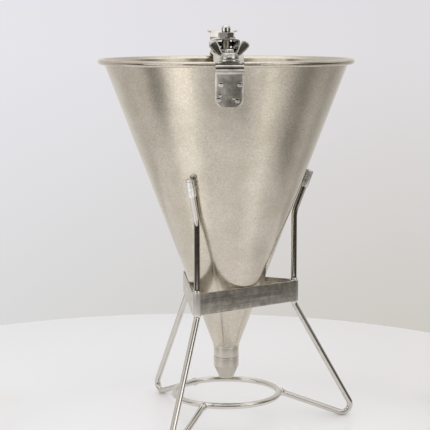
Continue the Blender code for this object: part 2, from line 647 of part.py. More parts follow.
def build_bridge(root, steel, polished):
    """Strap across the mouth: clamped at the front, hooked round the rolled rim at the back."""
    middle = BRIDGE_SHEET / 2
    clamp = CLAMP_BOTTOM + middle
    level = BRIDGE_TOP - middle
    bead = (RIM_RADIUS - BEAD_RADIUS, BEAD_HEIGHT)
    hook_radius = BEAD_RADIUS + GAP + middle
    hook_start = tangent_angle((BRIDGE_DROP, level), bead, hook_radius, -1)
    hook = arc(bead, hook_radius, hook_start, HOOK_END, 7)
    path = rounded([(BRIDGE_FRONT, clamp), (BRIDGE_RISE[0], clamp), (BRIDGE_RISE[1], level),
                    (BRIDGE_DROP, level), hook[0]], [BRIDGE_BEND] * 3)
    path = with_corner_points(path[:-1] + hook, BRIDGE_CORNER, at_start=True)
    widths = end_widths(path, BRIDGE_HALF, BRIDGE_CORNER, at_start=True)
    bm = swept(path, [sheet_section(half, BRIDGE_SHEET) for half in widths])
    bridge = build_object("bridge_strap", bm, steel, root)
    holes = [(SCREW_RADIUS + SCREW_CLEARANCE, -STUD_REACH, clamp), (BUSH_RADIUS + GAP, 0, level),
             (RIVET_RADIUS + GAP, PIVOT_Y - SADDLE_RIVET_PITCH / 2, level),
             (RIVET_RADIUS + GAP, PIVOT_Y + SADDLE_RIVET_PITCH / 2, level)]
    for number, (radius, y, z) in enumerate(holes):
        combine(bridge, drill(radius, DRILL_LENGTH, (0, y, z)), 'DIFFERENCE', "_hole_%d" % number)


def build_hinge(root, polished):
    """Saddle with two ears riveted on the strap, and the pin through them."""
    middle = SADDLE_SHEET / 2
    base = BRIDGE_TOP + GAP + middle
    side = SADDLE_HALF - middle
    top = PIVOT_Z + EAR_RADIUS
    straight = [(-side, top), (-side, base), (side, base), (side, top)]
    path = rounded(straight, [SADDLE_BEND] * 2, 3)
    cuts = [EAR_RADIUS * (1 - math.cos(math.pi / 2 * i / 5)) for i in range(1, 6)]
    left = [(-side, top - cut) for cut in cuts]
    right = [(side, top - cut) for cut in reversed(cuts)]
    path = [path[0]] + left + path[1:-1] + right + [path[-1]]

    def half_at(height):
        rise = height - PIVOT_Z
        if rise >= 0:
            return math.sqrt(max(EAR_RADIUS ** 2 - rise ** 2, EAR_TIP ** 2))
        share = min(1.0, -rise / (PIVOT_Z - base))
        return EAR_RADIUS + (SADDLE_LENGTH / 2 - EAR_RADIUS) * share

    bm = swept(path, [sheet_section(half_at(z), SADDLE_SHEET) for _, z in path])
    bmesh.ops.rotate(bm, verts=bm.verts, cent=(0, 0, 0), matrix=Matrix(((0, 1, 0), (-1, 0, 0), (0, 0, 1))))
    bmesh.ops.translate(bm, verts=bm.verts, vec=(0, PIVOT_Y, 0))
    saddle = build_object("hinge_saddle", bm, polished, root)
    hole = drill(PIN_RADIUS + GAP, CROSS_DRILL_LENGTH, (0, PIVOT_Y, PIVOT_Z), True)
    combine(saddle, hole, 'DIFFERENCE', "_pin_hole")
    for number, offset in enumerate((-1, 1)):
        y = PIVOT_Y + offset * SADDLE_RIVET_PITCH / 2
        hole = drill(RIVET_RADIUS + GAP, DRILL_LENGTH, (0, y, base))
        combine(saddle, hole, 'DIFFERENCE', "_hole_%d" % number)

    crown = RIVET_HEAD_HEIGHT * 0.8
    above = base + middle + GAP
    below = BRIDGE_BOTTOM - GAP
    spool = [(0, above + RIVET_HEAD_HEIGHT), (RIVET_RADIUS, above + crown), (RIVET_HEAD_RADIUS, above),
             (RIVET_RADIUS, above), (RIVET_RADIUS, below), (RIVET_HEAD_RADIUS, below),
             (RIVET_RADIUS, below - crown), (0, below - RIVET_HEAD_HEIGHT)]
    for name, offset in (("front", -1), ("rear", 1)):
        place = (0, PIVOT_Y + offset * SADDLE_RIVET_PITCH / 2, 0)
        build_object("saddle_rivet_" + name, turned(spool, 16, False), polished, root, place)

    head_start = LEVER_HALF + GAP
    head_edge = head_start + PIN_HEAD_HEIGHT / 2
    head_end = head_start + PIN_HEAD_HEIGHT
    pin = [(0, head_end), (PIN_HEAD_RADIUS * 0.7, head_end), (PIN_HEAD_RADIUS, head_edge),
           (PIN_HEAD_RADIUS, head_start), (PIN_RADIUS, head_start), (PIN_RADIUS, -head_start),
           (PIN_HEAD_RADIUS, -head_start), (PIN_HEAD_RADIUS, -head_edge),
           (PIN_HEAD_RADIUS * 0.7, -head_end), (0, -head_end)]
    build_object("hinge_pin", turned(pin, 20, False), polished, root, (0, PIVOT_Y, PIVOT_Z),
                 (0, math.pi / 2, 0))


def channel_section(depth, columns=5):
    """The lever's section: crowned web with a flange down each side, measured from the top of the web."""
    half = LEVER_HALF
    wall = LEVER_SHEET
    spots = [(half - LEVER_CORNER) * (2 * i / columns - 1) for i in range(columns + 1)]
    crown = [(x, -LEVER_CROWN * (x / half) ** 2) for x in spots]
    fall = -LEVER_CROWN - LEVER_CORNER * 0.8
    outer = [(-half, -depth), (-half, fall)] + crown + [(half, fall), (half, -depth)]
    inside = half - wall
    spots = [inside * (1 - 2 * i / columns) for i in range(columns + 1)]
    inner = [(x, -wall - LEVER_CROWN * (x / half) ** 2) for x in spots]
    return outer + [(inside, -depth)] + inner + [(-inside, -depth)]


def flange_depth(y):
    """Depth of the lever's flanges: a round front corner, then down to the strap, then rounded off behind."""
    run = min(y - LEVER_FRONT, LEVER_NOSE)
    behind = y - PIVOT_Y
    if behind <= 0:
        return LEVER_FLANGE - LEVER_NOSE + math.sqrt(LEVER_NOSE ** 2 - (LEVER_NOSE - run) ** 2)
    heel_end = HEEL_RADIUS * math.sin(HEEL_TURN)
    heel = LEVER_TOP - PIVOT_Z + math.sqrt(HEEL_RADIUS ** 2 - min(behind, heel_end) ** 2)
    share = max(0.0, behind - heel_end) / (LEVER_BACK - PIVOT_Y - heel_end)
    return heel + (LEVER_TAIL_DEPTH - heel) * share


def tail_half(y, rise):
    """Half width of the lever's tail; rise goes from 0 at the web to 1 at the pad."""
    full = LEVER_HALF - SMALL_CHAMFER
    if y > PAD_BACK - PAD_CORNER:
        near = (y - PAD_BACK + PAD_CORNER) / PAD_CORNER
        return PAD_HALF - PAD_CORNER * (1 - math.sqrt(max(0.0, 1 - near ** 2)))
    if y > TAIL_TURN + TAIL_RUN:
        return PAD_HALF
    share = min(1.0, max(0.0, (rise - SHOULDER_SPAN) / SHOULDER_SPAN))
    return full + (SHOULDER_HALF - full) * share


def lever_tail():
    """Sheet that goes on from the web, turns up behind the hinge and ends in the thumb pad."""
    middle = LEVER_SHEET / 2
    web = LEVER_TOP - middle - SMALL_CHAMFER / 3
    pad = PAD_TOP - middle
    corners = [(LEVER_BACK - TAIL_OVERLAP, web), (TAIL_TURN, web), (TAIL_TURN + TAIL_RUN, pad),
               (PAD_BACK - PAD_LIP_RUN, pad), (PAD_BACK, pad - PAD_LIP)]
    path = with_corner_points(rounded(corners, [0.0020, 0.0016, 0.0030], 3), PAD_LIP, at_end=True, steps=3)
    sections = []
    for y, z in path:
        half = tail_half(y, (z - web) / (pad - web))
        sections.append(sheet_section(half, LEVER_SHEET, LEVER_CROWN if y < TAIL_TURN else TAIL_CROWN, 5))
    return swept(path, sections)


def build_lever(root, polished):
    """Channel lever over the strap, hinged at the back, with its tail turned up into a thumb pad."""
    pivot = frame("lever_axis", root, (0, PIVOT_Y, PIVOT_Z))
    front = [LEVER_FRONT + LEVER_NOSE * (1 - math.cos(math.pi / 2 * i / 4)) for i in range(5)]
    heel = [PIVOT_Y + HEEL_RADIUS * math.sin(HEEL_TURN * i / 3) for i in range(4)]
    stations = front + list(LEVER_STATIONS) + heel + [LEVER_BACK]
    bm = swept([(y, LEVER_TOP) for y in stations], [channel_section(flange_depth(y)) for y in stations])
    bmesh.ops.translate(bm, verts=bm.verts, vec=(0, -PIVOT_Y, -PIVOT_Z))
    lever = build_object("lever", bm, polished, pivot)
    tail = lever_tail()
    bmesh.ops.translate(tail, verts=tail.verts, vec=(0, -PIVOT_Y, -PIVOT_Z))
    combine(lever, tail, 'UNION', "_tail")

    wide = SCREW_RADIUS + SCREW_CLEARANCE
    slot = arc((0, ROD_SLOT_RUN), wide, 0, math.pi, 8)
    slot += arc((0, -ROD_SLOT_RUN), wide, math.pi, 2 * math.pi, 8)
    levels = (LEVER_TOP - PIVOT_Z - LEVER_FLANGE / 2, LEVER_TOP - PIVOT_Z + LEVER_FLANGE / 2)
    loops = [[(x, y - PIVOT_Y, level) for x, y in slot] for level in levels]
    combine(lever, stacked(loops), 'DIFFERENCE', "_rod_slot")
    combine(lever, drill(PIN_RADIUS + GAP, CROSS_DRILL_LENGTH, (0, 0, 0), True), 'DIFFERENCE', "_pin_hole")


def build_guide(root, steel, polished):
    """Bush that guides the rod through the strap, and the nut that holds it from above."""
    seat = BRIDGE_BOTTOM - GAP
    top = BRIDGE_TOP + BUSH_NUT_HEIGHT
    bush = [(BUSH_BORE, BUSH_BOTTOM), (BUSH_RADIUS, BUSH_BOTTOM), (BUSH_RADIUS, seat - BUSH_FLANGE_HEIGHT),
            (BUSH_FLANGE_RADIUS, seat - BUSH_FLANGE_HEIGHT), (BUSH_FLANGE_RADIUS, seat), (BUSH_RADIUS, seat),
            (BUSH_RADIUS, top), (BUSH_BORE, top)]
    build_object("guide_bush", turned(bush, 32), steel, root)
    nut = hex_nut(BUSH_NUT_FLATS, BUSH_NUT_HEIGHT, BUSH_RADIUS + GAP)
    build_object("bush_nut", nut, polished, root, (0, 0, BRIDGE_TOP + GAP), (0, 0, math.pi / 6))


def build_plunger(root, steel, polished):
    """Rod with the nut that the lever lifts, the spring's collar on its cross pin, and the valve plug."""
    plunger = frame("plunger_axis", root)
    nut_bottom = PLUG_BOTTOM - GAP - JAM_NUT_HEIGHT
    rod_bottom = nut_bottom - ROD_BELOW_NUT
    rod = [(0, ROD_TOP)] + [(SCREW_RADIUS * math.sin(a), ROD_TOP - ROD_DOME * (1 - math.cos(a)))
                            for a in (math.pi / 2 * i / 4 for i in range(1, 5))]
    rod += [(SCREW_RADIUS, rod_bottom + ROD_CHAMFER), (SCREW_RADIUS - ROD_CHAMFER, rod_bottom),
            (0, rod_bottom)]
    rod_object = build_object("plunger_rod", turned(rod, 24, False), polished, plunger)
    pin_height = SPRING_COLLAR_BOTTOM - GAP - CROSS_PIN_RADIUS
    pin_hole = drill(CROSS_PIN_RADIUS + GAP, DRILL_LENGTH, (0, 0, pin_height), True, 16)
    combine(rod_object, pin_hole, 'DIFFERENCE', "_pin_hole")
    pin = drill(CROSS_PIN_RADIUS, CROSS_PIN_LENGTH, (0, 0, 0), True, 14)
    build_object("collar_pin", pin, polished, plunger, (0, 0, pin_height))

    bore = SCREW_RADIUS + GAP
    collar = [(bore, SPRING_COLLAR_BOTTOM), (SPRING_COLLAR_RADIUS, SPRING_COLLAR_BOTTOM),
              (SPRING_COLLAR_RADIUS, SPRING_COLLAR_TOP - COLLAR_CHAMFER),
              (SPRING_COLLAR_RADIUS - COLLAR_CHAMFER, SPRING_COLLAR_TOP), (bore, SPRING_COLLAR_TOP)]
    build_object("spring_collar", turned(collar, 28), polished, plunger)

    clear = SHEET_ACROSS + GAP / math.cos(CONE_HALF_ANGLE)
    top = PLUG_BOTTOM + PLUG_HEIGHT
    wide = top - PLUG_CROWN - PLUG_SHOULDER[1]
    plug = [(bore, PLUG_BOTTOM), (cone_radius(PLUG_BOTTOM) - clear - PLUG_CHAMFER, PLUG_BOTTOM),
            (cone_radius(PLUG_BOTTOM + PLUG_CHAMFER) - clear, PLUG_BOTTOM + PLUG_CHAMFER),
            (cone_radius(wide) - clear, wide),
            (cone_radius(wide) - clear - PLUG_SHOULDER[0], wide + PLUG_SHOULDER[1]),
            (SCREW_RADIUS + PLUG_TOP_WIDTH, top), (bore, top)]
    build_object("valve_plug", turned(plug, 40), steel, plunger)
    for name, height, turn in (("lift_nut", LEVER_TOP + GAP, LIFT_NUT_TURN), ("plug_nut", nut_bottom, 0)):
        nut = hex_nut(JAM_NUT_FLATS, JAM_NUT_HEIGHT, bore)
        build_object(name, nut, polished, plunger, (0, 0, height), (0, 0, turn))


def build_spring(root, polished):
    """Compression spring round the rod, between guide bush and spring collar, as one unbroken wire."""
    lead = SPRING_WIRE
    coil_top = SPRING_TOP - lead
    coil_height = SPRING_LENGTH - 2 * lead
    count = SPRING_TURNS * SPRING_POINTS
    points = []
    for i in range(count + 1):
        angle = 2 * math.pi * i / SPRING_POINTS
        height = coil_top - coil_height * i / count
        points.append(Vector((SPRING_RADIUS * math.cos(angle), SPRING_RADIUS * math.sin(angle), height)))
    points.insert(0, points[0] + Vector((0, 0, lead)))
    points.append(points[-1] - Vector((0, 0, lead)))

    far = SPRING_POINTS // 2
    gaps = [(points[i] - points[j]).length for i in range(len(points)) for j in range(i + far, len(points))]
    print("least gap of the spring to itself, mm: %.2f" % ((min(gaps) - SPRING_WIRE) * 1000))

    curve = bpy.data.curves.new("return_spring", 'CURVE')
    curve.dimensions = '3D'
    curve.bevel_depth = SPRING_WIRE / 2
    curve.bevel_resolution = 1
    curve.use_fill_caps = True
    spline = curve.splines.new('POLY')
    spline.points.add(len(points) - 1)
    for spot, point in zip(spline.points, points):
        spot.co = (*point, 1.0)
    curve.materials.append(polished)
    spring = bpy.data.objects.new("return_spring", curve)
    bpy.context.scene.collection.objects.link(spring)
    spring.parent = root


def build_handle(root, polished):
    """D-shaped strap handle, its two feet welded flat on the back of the cone."""
    middle = HANDLE_SHEET / 2
    clear = GAP + middle
    foot_drop = HANDLE_FOOT * math.cos(CONE_HALF_ANGLE)
    corners = [wall_point(HANDLE_TOP - foot_drop, clear), wall_point(HANDLE_TOP, clear),
               (HANDLE_REACH_TOP, HANDLE_TOP), (HANDLE_REACH_LOW, HANDLE_LOW), wall_point(HANDLE_LOW, clear),
               wall_point(HANDLE_LOW - foot_drop, clear)]
    path = rounded(corners, [HANDLE_FOOT_BEND, HANDLE_BEND, HANDLE_BEND, HANDLE_FOOT_BEND], 6)
    path = with_corner_points(path, HANDLE_CORNER, at_start=True, at_end=True)
    widths = end_widths(path, HANDLE_HALF, HANDLE_CORNER, at_start=True, at_end=True)
    sections = []
    for point, half in zip(path, widths):
        way = -1 if point[1] > (HANDLE_TOP + HANDLE_LOW) / 2 else 1
        sections.append(sheet_section(half, HANDLE_SHEET, way * wall_crown(point, half, middle), 5))
    build_object("handle", swept(path, sections), polished, root)


def main():
    for obj in list(bpy.data.objects):
        bpy.data.objects.remove(obj, do_unlink=True)
    steel = metal("satin_steel", (0.56, 0.54, 0.49), 0.38)
    polished = metal("polished_steel", (0.72, 0.71, 0.69), 0.16)
    dark = metal("brushed_band", (0.33, 0.32, 0.30), 0.42)
    vinyl = metal("vinyl", (0.62, 0.62, 0.60), 0.35, 0.0)
    rubber = metal("seal_rubber", (0.05, 0.05, 0.05), 0.6, 0.0)

    root = frame("funnel_axis", location=(AXIS_X, AXIS_Y, 0))
    front = frame("front_frame", root, rotation=(0, 0, math.pi))
    build_stand(root, polished, dark, vinyl)
    build_cone(root, steel)
    build_outlet(root, steel, polished, rubber)
    build_bracket(front, polished)
    build_clamp(front, polished)
    build_bridge(root, steel, polished)
    build_hinge(root, polished)
    build_lever(root, polished)
    build_guide(root, steel, polished)
    build_plunger(root, steel, polished)
    build_spring(root, polished)
    build_handle(root, polished)


main()
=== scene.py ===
"""Looks of the pancake batter dispenser: finishes, finer pieces, studio and camera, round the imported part."""
from math import acos, atan2, ceil, cos, exp, hypot, pi, radians, sin, sqrt, tan, tau

import bmesh
import bpy
from mathutils import Matrix, Vector


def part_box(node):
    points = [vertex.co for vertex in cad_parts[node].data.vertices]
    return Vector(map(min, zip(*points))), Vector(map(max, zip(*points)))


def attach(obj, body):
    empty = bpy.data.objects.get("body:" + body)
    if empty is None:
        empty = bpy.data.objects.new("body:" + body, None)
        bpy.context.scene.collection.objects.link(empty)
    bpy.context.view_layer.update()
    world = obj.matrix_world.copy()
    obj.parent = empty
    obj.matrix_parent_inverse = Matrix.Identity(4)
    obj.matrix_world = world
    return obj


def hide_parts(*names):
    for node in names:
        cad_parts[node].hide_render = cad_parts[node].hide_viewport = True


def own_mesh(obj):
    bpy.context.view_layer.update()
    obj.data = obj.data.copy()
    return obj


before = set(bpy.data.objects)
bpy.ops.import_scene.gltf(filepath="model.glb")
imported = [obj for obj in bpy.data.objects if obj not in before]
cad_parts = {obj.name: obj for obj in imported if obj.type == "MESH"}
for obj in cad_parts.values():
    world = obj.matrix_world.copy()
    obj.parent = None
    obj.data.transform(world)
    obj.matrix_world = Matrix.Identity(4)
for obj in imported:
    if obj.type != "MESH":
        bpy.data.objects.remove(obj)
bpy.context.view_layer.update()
scene = bpy.context.scene

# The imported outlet, and the funnel's own axis through its collar
COLLAR_LOW, COLLAR_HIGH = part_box("outlet_collar")
NOZZLE_LOW, NOZZLE_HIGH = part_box("nozzle")
AXIS = Vector(((COLLAR_LOW.x + COLLAR_HIGH.x) / 2, (COLLAR_LOW.y + COLLAR_HIGH.y) / 2, 0.0))

# Camera: stands in front, slightly above the rim, and looks slightly down
CAMERA_PLACE = Vector((-0.03276, -1.09469, 0.3162))
CAMERA_HEADING = radians(1.183)
CAMERA_PITCH = radians(7.926)
CAMERA_ROLL = radians(-0.11)
SENSOR = 36.0
LENS = 114.95


# ------ shader maths

def operator(operation, flip=False):
    """A Python operator that adds a Math node; flip takes the other value first."""
    def apply(self, other):
        return self.calc(operation, other, self) if flip else self.calc(operation, self, other)
    return apply


class Socket:
    """A shader value that takes part in Python expressions."""

    __add__ = __radd__ = operator('ADD')
    __mul__ = __rmul__ = operator('MULTIPLY')
    __sub__ = operator('SUBTRACT')
    __rsub__ = operator('SUBTRACT', True)
    __truediv__ = operator('DIVIDE')
    __rtruediv__ = operator('DIVIDE', True)

    def __init__(self, tree, output):
        self.tree = tree
        self.output = output

    def calc(self, operation, *values):
        return self.tree.node("ShaderNodeMath", {"operation": operation}, dict(enumerate(values)))

    def clamp(self):
        return self.calc('MINIMUM', self.calc('MAXIMUM', self, 0.0), 1.0)

    def size(self):
        return self.calc('ABSOLUTE', self)

    def angle(self, other):
        """Angle whose tangent is this value over the other."""
        return self.calc('ARCTAN2', self, other)


class Tree:
    """Nodes of one material or of the world."""

    def __init__(self, owner):
        owner.use_nodes = True
        self.owner = owner
        self.nodes = owner.node_tree.nodes
        self.links = owner.node_tree.links
        self.nodes.clear()

    def node(self, kind, settings=None, inputs=None, output=0):
        """Adds a node: its settings first, then values or links for its sockets."""
        made = self.nodes.new(kind)
        for name, value in (settings or {}).items():
            if name == "stops":
                self._set_stops(made.color_ramp, value)
            else:
                setattr(made, name, value)
        for name, value in (inputs or {}).items():
            if isinstance(value, Socket):
                self.links.new(value.output, made.inputs[name])
            else:
                made.inputs[name].default_value = value
        return Socket(self, made.outputs[output]) if made.outputs else made

    @staticmethod
    def _set_stops(ramp, stops):
        while len(ramp.elements) > 1:
            ramp.elements.remove(ramp.elements[-1])
        for number, (place, color) in enumerate(stops):
            element = ramp.elements[0] if number == 0 else ramp.elements.new(place)
            element.position = place
            element.color = (*color, 1.0)

    def place(self, kind="Object"):
        """Object position, in metres, or another texture coordinate."""
        return self.node("ShaderNodeTexCoord", output=kind)

    def axes(self, kind="Object"):
        """The three components of a texture coordinate."""
        split = self.node("ShaderNodeSeparateXYZ", {}, {0: self.place(kind)})
        return [Socket(self, axis) for axis in split.output.node.outputs]

    def noise(self, scale, detail=3.0, roughness=0.55, vector=None):
        """Noise over the object position, or over another vector."""
        inputs = {"Vector": vector or self.place(), "Scale": scale, "Detail": detail, "Roughness": roughness}
        return self.node("ShaderNodeTexNoise", {}, inputs)

    def rings(self, around, upward, detail):
        """Noise in fine level rings, from its scales round the piece and up it."""
        x, y, z = self.axes()
        vector = self.node("ShaderNodeCombineXYZ", {}, {"X": x * around, "Y": y * around, "Z": z * upward})
        return self.noise(1.0, detail, vector=vector)

    def mix(self, share, first, second):
        """A colour between two colours."""
        first, second = (color if isinstance(color, Socket) else (*color, 1.0) for color in (first, second))
        return self.node("ShaderNodeMix", {"data_type": 'RGBA'}, {"Factor": share, 6: first, 7: second}, 2)

    def spread(self, value, low, high, to_low=0.0, to_high=1.0):
        """Maps a value from one range to another, and holds it at the ends."""
        inputs = {"Value": value, "From Min": low, "From Max": high, "To Min": to_low, "To Max": to_high}
        return self.node("ShaderNodeMapRange", {}, inputs)

    def by_azimuth(self, turn, levels, gains, offsets=(0.0, 0.0, 0.0)):
        """Colour by azimuth, given in radians, from brightness levels listed by azimuth in degrees."""
        stops = [(azimuth / 360 + 0.5, [level * gain + offset for gain, offset in zip(gains, offsets)])
                 for azimuth, level in levels]
        return self.node("ShaderNodeValToRGB", {"stops": stops}, {"Fac": turn / tau + 0.5})

    def bump(self, height, distance, strength=1.0):
        return self.node("ShaderNodeBump", {}, {"Height": height, "Distance": distance, "Strength": strength})

    def principled(self, **inputs):
        """Ends a material in a Principled surface; names with spaces are written with underscores."""
        values = {name.replace("_", " "): value for name, value in inputs.items()}
        shader = self.node("ShaderNodeBsdfPrincipled", {}, values)
        self.node("ShaderNodeOutputMaterial", {}, {"Surface": shader})
        return self.owner

    def steel(self, color, roughness, normal, drawn=0.0):
        """Ends a metal material; drawn is how far its rings or brushing draw out what it mirrors."""
        return self.principled(Base_Color=color, Metallic=1.0, Roughness=roughness, Normal=normal,
                               Anisotropic=drawn, Anisotropic_Rotation=0.25)


def new_tree(name):
    return Tree(bpy.data.materials.new(name))


# ------ studio

TABLE_RADIUS = 0.377
TABLE_THICKNESS = 0.012
STAND_SPOT = (0.037, -0.035)  # the funnel's axis, from the table's middle
TABLE_CENTRE = AXIS - Vector((*STAND_SPOT, 0.0))
PAINTED_LIGHT_AHEAD = 0.040  # painted light, which lifts the funnel's shade off the table, is brightest this far in front of the axis
TABLE_SIDES = (1.9, 2.1)  # azimuths in radians between which its front goes over into its back
LEAF_NEAR = 0.400  # the second table, from the funnel's axis
LEAF_FAR = 0.640
LEAF_TURN = radians(32)

# Backdrop colours by height and side
BACKDROP_HIGH = ((0.80, 0.79, 0.835), (0.74, 0.725, 0.74))
BACKDROP_LOW = ((0.70, 0.70, 0.70), (0.62, 0.59, 0.55))
# What metal mirrors of the room, by azimuth in degrees from the camera's side, to the right
ROOM_BELOW = ((-180, 0.80), (-160, 0.70), (-140, 0.60), (-115, 0.66), (-98, 0.62), (-86, 0.24), (-76, 0.32),
              (-66, 0.95), (-56, 1.35), (-44, 1.35), (-34, 0.74), (-24, 0.26), (-10, 0.11), (10, 0.11), (24, 0.28),
              (36, 0.70), (48, 1.0), (60, 0.78), (72, 0.56), (84, 0.32), (96, 0.29), (108, 0.46), (120, 0.56),
              (134, 0.48), (150, 0.60), (165, 0.74), (180, 0.80))
ROOM_LEVEL = ((-180, 0.80), (-150, 0.72), (-125, 0.62), (-105, 0.40), (-88, 0.06), (-40, 0.03), (0, 0.02),
              (40, 0.03), (80, 0.03), (104, 0.07), (124, 0.30), (140, 0.48), (160, 0.62), (180, 0.76))
ROOM_ABOVE = ((-180, 0.72), (-110, 0.72), (-86, 0.66), (-76, 0.26), (-62, 0.20), (-54, 0.40), (-32, 0.40),
              (-24, 0.36), (-12, 0.20), (0, 0.07), (28, 0.07), (38, 0.20), (46, 0.95), (64, 1.0),
              (76, 0.48), (86, 0.20), (96, 0.36), (110, 0.66), (150, 0.72), (180, 0.72))
CEILING = (1.0, 1.0, 1.0)
# Sines of the elevations between which each layer of the room goes over into the next
ROOM_STEPS = ((-0.42, -0.28), (0.12, 0.30), (0.66, 0.86))
# Painted light and shade on the table beyond the feet in front, for the metal to mirror, by the same azimuths
PAINTED_TABLE_FRONT = ((-110, 0.78), (-76, 0.78), (-62, 0.96), (-42, 0.97), (-28, 0.78), (20, 0.76), (34, 0.84), (50, 0.86),
               (66, 0.70), (104, 0.68), (118, 0.78))
AMBIENT = (0.962, 0.962, 0.962)

LAMPS = (  # azimuth in degrees, distance, height, size, brightness of the lamp's surface, height it aims at
    ("panel_left", -57, 1.35, 0.38, (0.93, 0.44), 1.3, 0.38),
    ("panel_right", 42, 1.35, 0.47, (0.70, 0.30), 1.35, 0.47),
    ("lamp_over", 6, 1.2, 0.75, (1.5, 0.24), 0.95, 0.05),
    ("lamp_front", -56, 0.95, 1.05, (0.7, 0.9), 0.54, -0.1),
    ("lamp_top", 180, 0.25, 1.7, (1.4, 1.4), 0.35, 0.0))


def build_world():
    """Pale backdrop behind, and a darker room in front of the table for the metal to mirror."""
    world = bpy.data.worlds.new("studio")
    scene.world = world
    tree = Tree(world)
    x, y, z = tree.axes("Generated")
    side = tree.spread(x, -0.15, 0.15)
    backdrop = tree.mix(tree.spread(z, -0.22, -0.02), tree.mix(side, *BACKDROP_LOW), tree.mix(side, *BACKDROP_HIGH))

    turn = x.angle(0.0 - y)
    room, *layers = [tree.by_azimuth(turn, levels, (1.0, 0.985, 0.965), (0.014, 0.007, 0.0))
                     for levels in (ROOM_BELOW, ROOM_LEVEL, ROOM_ABOVE)]
    for (start, end), layer in zip(ROOM_STEPS, (*layers, CEILING)):
        room = tree.mix(tree.spread(z, start, end), room, layer)

    seen, mirrored, through = [tree.node("ShaderNodeLightPath", output="Is %s Ray" % kind)
                               for kind in ("Camera", "Glossy", "Transmission")]
    lit = tree.mix((mirrored + through).clamp(), AMBIENT, room)
    light = tree.node("ShaderNodeBackground", {}, {"Color": tree.mix(seen, lit, backdrop)})
    tree.node("ShaderNodeOutputWorld", {}, {"Surface": light})


def build_table():
    """White round table top with a soft edge and painted light and shade on it, and the leaf of a second one that
    stands before it.
    """
    tree = new_tree("white_table")
    x, y, _ = tree.axes()
    cloud = tree.noise(6.0, 2.0)
    # Painted shade: the top is made darker and warmer towards its right side
    left = tree.mix(cloud, (0.79, 0.785, 0.80), (0.82, 0.815, 0.83))
    right = tree.mix(cloud, (0.77, 0.745, 0.74), (0.79, 0.765, 0.76))
    color = tree.mix(tree.spread(x, -0.1, 0.35), left, right)
    across = x - STAND_SPOT[0]
    back = y - STAND_SPOT[1]
    ahead = back + PAINTED_LIGHT_AHEAD
    # Painted light round the stand's foot, in place of the shade that the funnel casts on the table
    painted_light = tree.spread(across * across + ahead * ahead, 0.0, 0.030, 0.8, 0.0)  # by squared distance
    color = tree.mix(painted_light, color, (0.95, 0.94, 0.95))
    # Painted light and shade on the table in front of the feet, by azimuth, for the metal to mirror
    turn = across.angle(0.0 - back)
    beyond = tree.spread(across * across + back * back, 0.027, 0.036)  # likewise
    in_front = tree.spread(turn.size(), *TABLE_SIDES, 1.0, 0.0)
    color = tree.mix(beyond * in_front, color, tree.by_azimuth(turn, PAINTED_TABLE_FRONT, (1.0, 0.99, 0.985)))
    material = tree.principled(Base_Color=color, Roughness=0.32)

    edge = TABLE_THICKNESS / 2
    rim = arc((TABLE_RADIUS - edge, -edge), edge, pi / 2, -pi / 2, 8)
    top = turned([(0.0, 0.0), *rim, (0.0, -TABLE_THICKNESS)], 128, False)
    new_object("table_top", top, material, TABLE_CENTRE, 180)

    section = rectangle(LEAF_NEAR, LEAF_FAR, -TABLE_THICKNESS, 0.0)
    leaf = stacked([[(r * sin(a), -r * cos(a), z) for r, z in section]
                    for a in (LEAF_TURN * (step / 16 - 1) for step in range(33))])
    new_object("table_leaf", leaf, material, AXIS, 0)


def build_lights():
    """Area lamps round the object and turned to it, by their azimuth from the camera's side."""
    for name, azimuth, distance, height, size, strength, aim_height in LAMPS:
        lamp = bpy.data.lights.new(name, 'AREA')
        lamp.shape = 'RECTANGLE'
        lamp.size, lamp.size_y = size
        lamp.energy = strength * pi * size[0] * size[1]
        obj = add_object(name, lamp)
        turn = radians(azimuth)
        obj.location = AXIS + Vector((distance * sin(turn), -distance * cos(turn), height))
        aim = AXIS + Vector((0, 0, aim_height)) - obj.location
        obj.rotation_euler = aim.to_track_quat('-Z', 'Y').to_euler()


def build_camera():
    camera = bpy.data.cameras.new("camera")
    camera.sensor_width = SENSOR
    camera.lens = LENS
    obj = add_object("camera", camera)
    aim = Matrix.Rotation(-CAMERA_HEADING, 4, 'Z') @ Matrix.Rotation(pi / 2 - CAMERA_PITCH, 4, 'X')
    obj.matrix_world = Matrix.Translation(CAMERA_PLACE) @ aim @ Matrix.Rotation(CAMERA_ROLL, 4, 'Z')
    scene.camera = obj


# ------ sizes, about the funnel's own axis

# Funnel and outlet
RIM_RADIUS = 0.1000
BEAD_RADIUS = 0.0022
BEAD_HEIGHT = 0.2873
BEAD_LIP = 0.0011
RIM_NOTCH_DEPTH = 0.0013
CONE_HALF_ANGLE = radians(20.7)
CONE_SLOPE = tan(CONE_HALF_ANGLE)
CONE_COS = cos(CONE_HALF_ANGLE)
CONE_SIN = sin(CONE_HALF_ANGLE)
SHEET_ACROSS = 0.0010 / CONE_COS
OUTLET_RADIUS = 0.0100
WALL_TOP_RADIUS = RIM_RADIUS - 2 * BEAD_RADIUS
CONE_BOTTOM = BEAD_HEIGHT - (WALL_TOP_RADIUS - OUTLET_RADIUS) / CONE_SLOPE
GAP = 0.0003
COLLAR_BORE = 0.0070
COLLAR_NECK = 0.0097
THREAD_RADIUS = 0.0084  # collar inside the nozzle
THREAD_DEPTH = 0.0058
NOZZLE_SHOULDER = NOZZLE_HIGH.z - 0.0074  # where the nozzle starts to narrow
NOZZLE_TIP = 0.0053
NOZZLE_BORE = 0.0040
NOZZLE_MOUTH = 0.0020  # straight part of its bore at the tip
OUTLET_WELD = 0.0007
NOZZLE_LIP = 0.0005

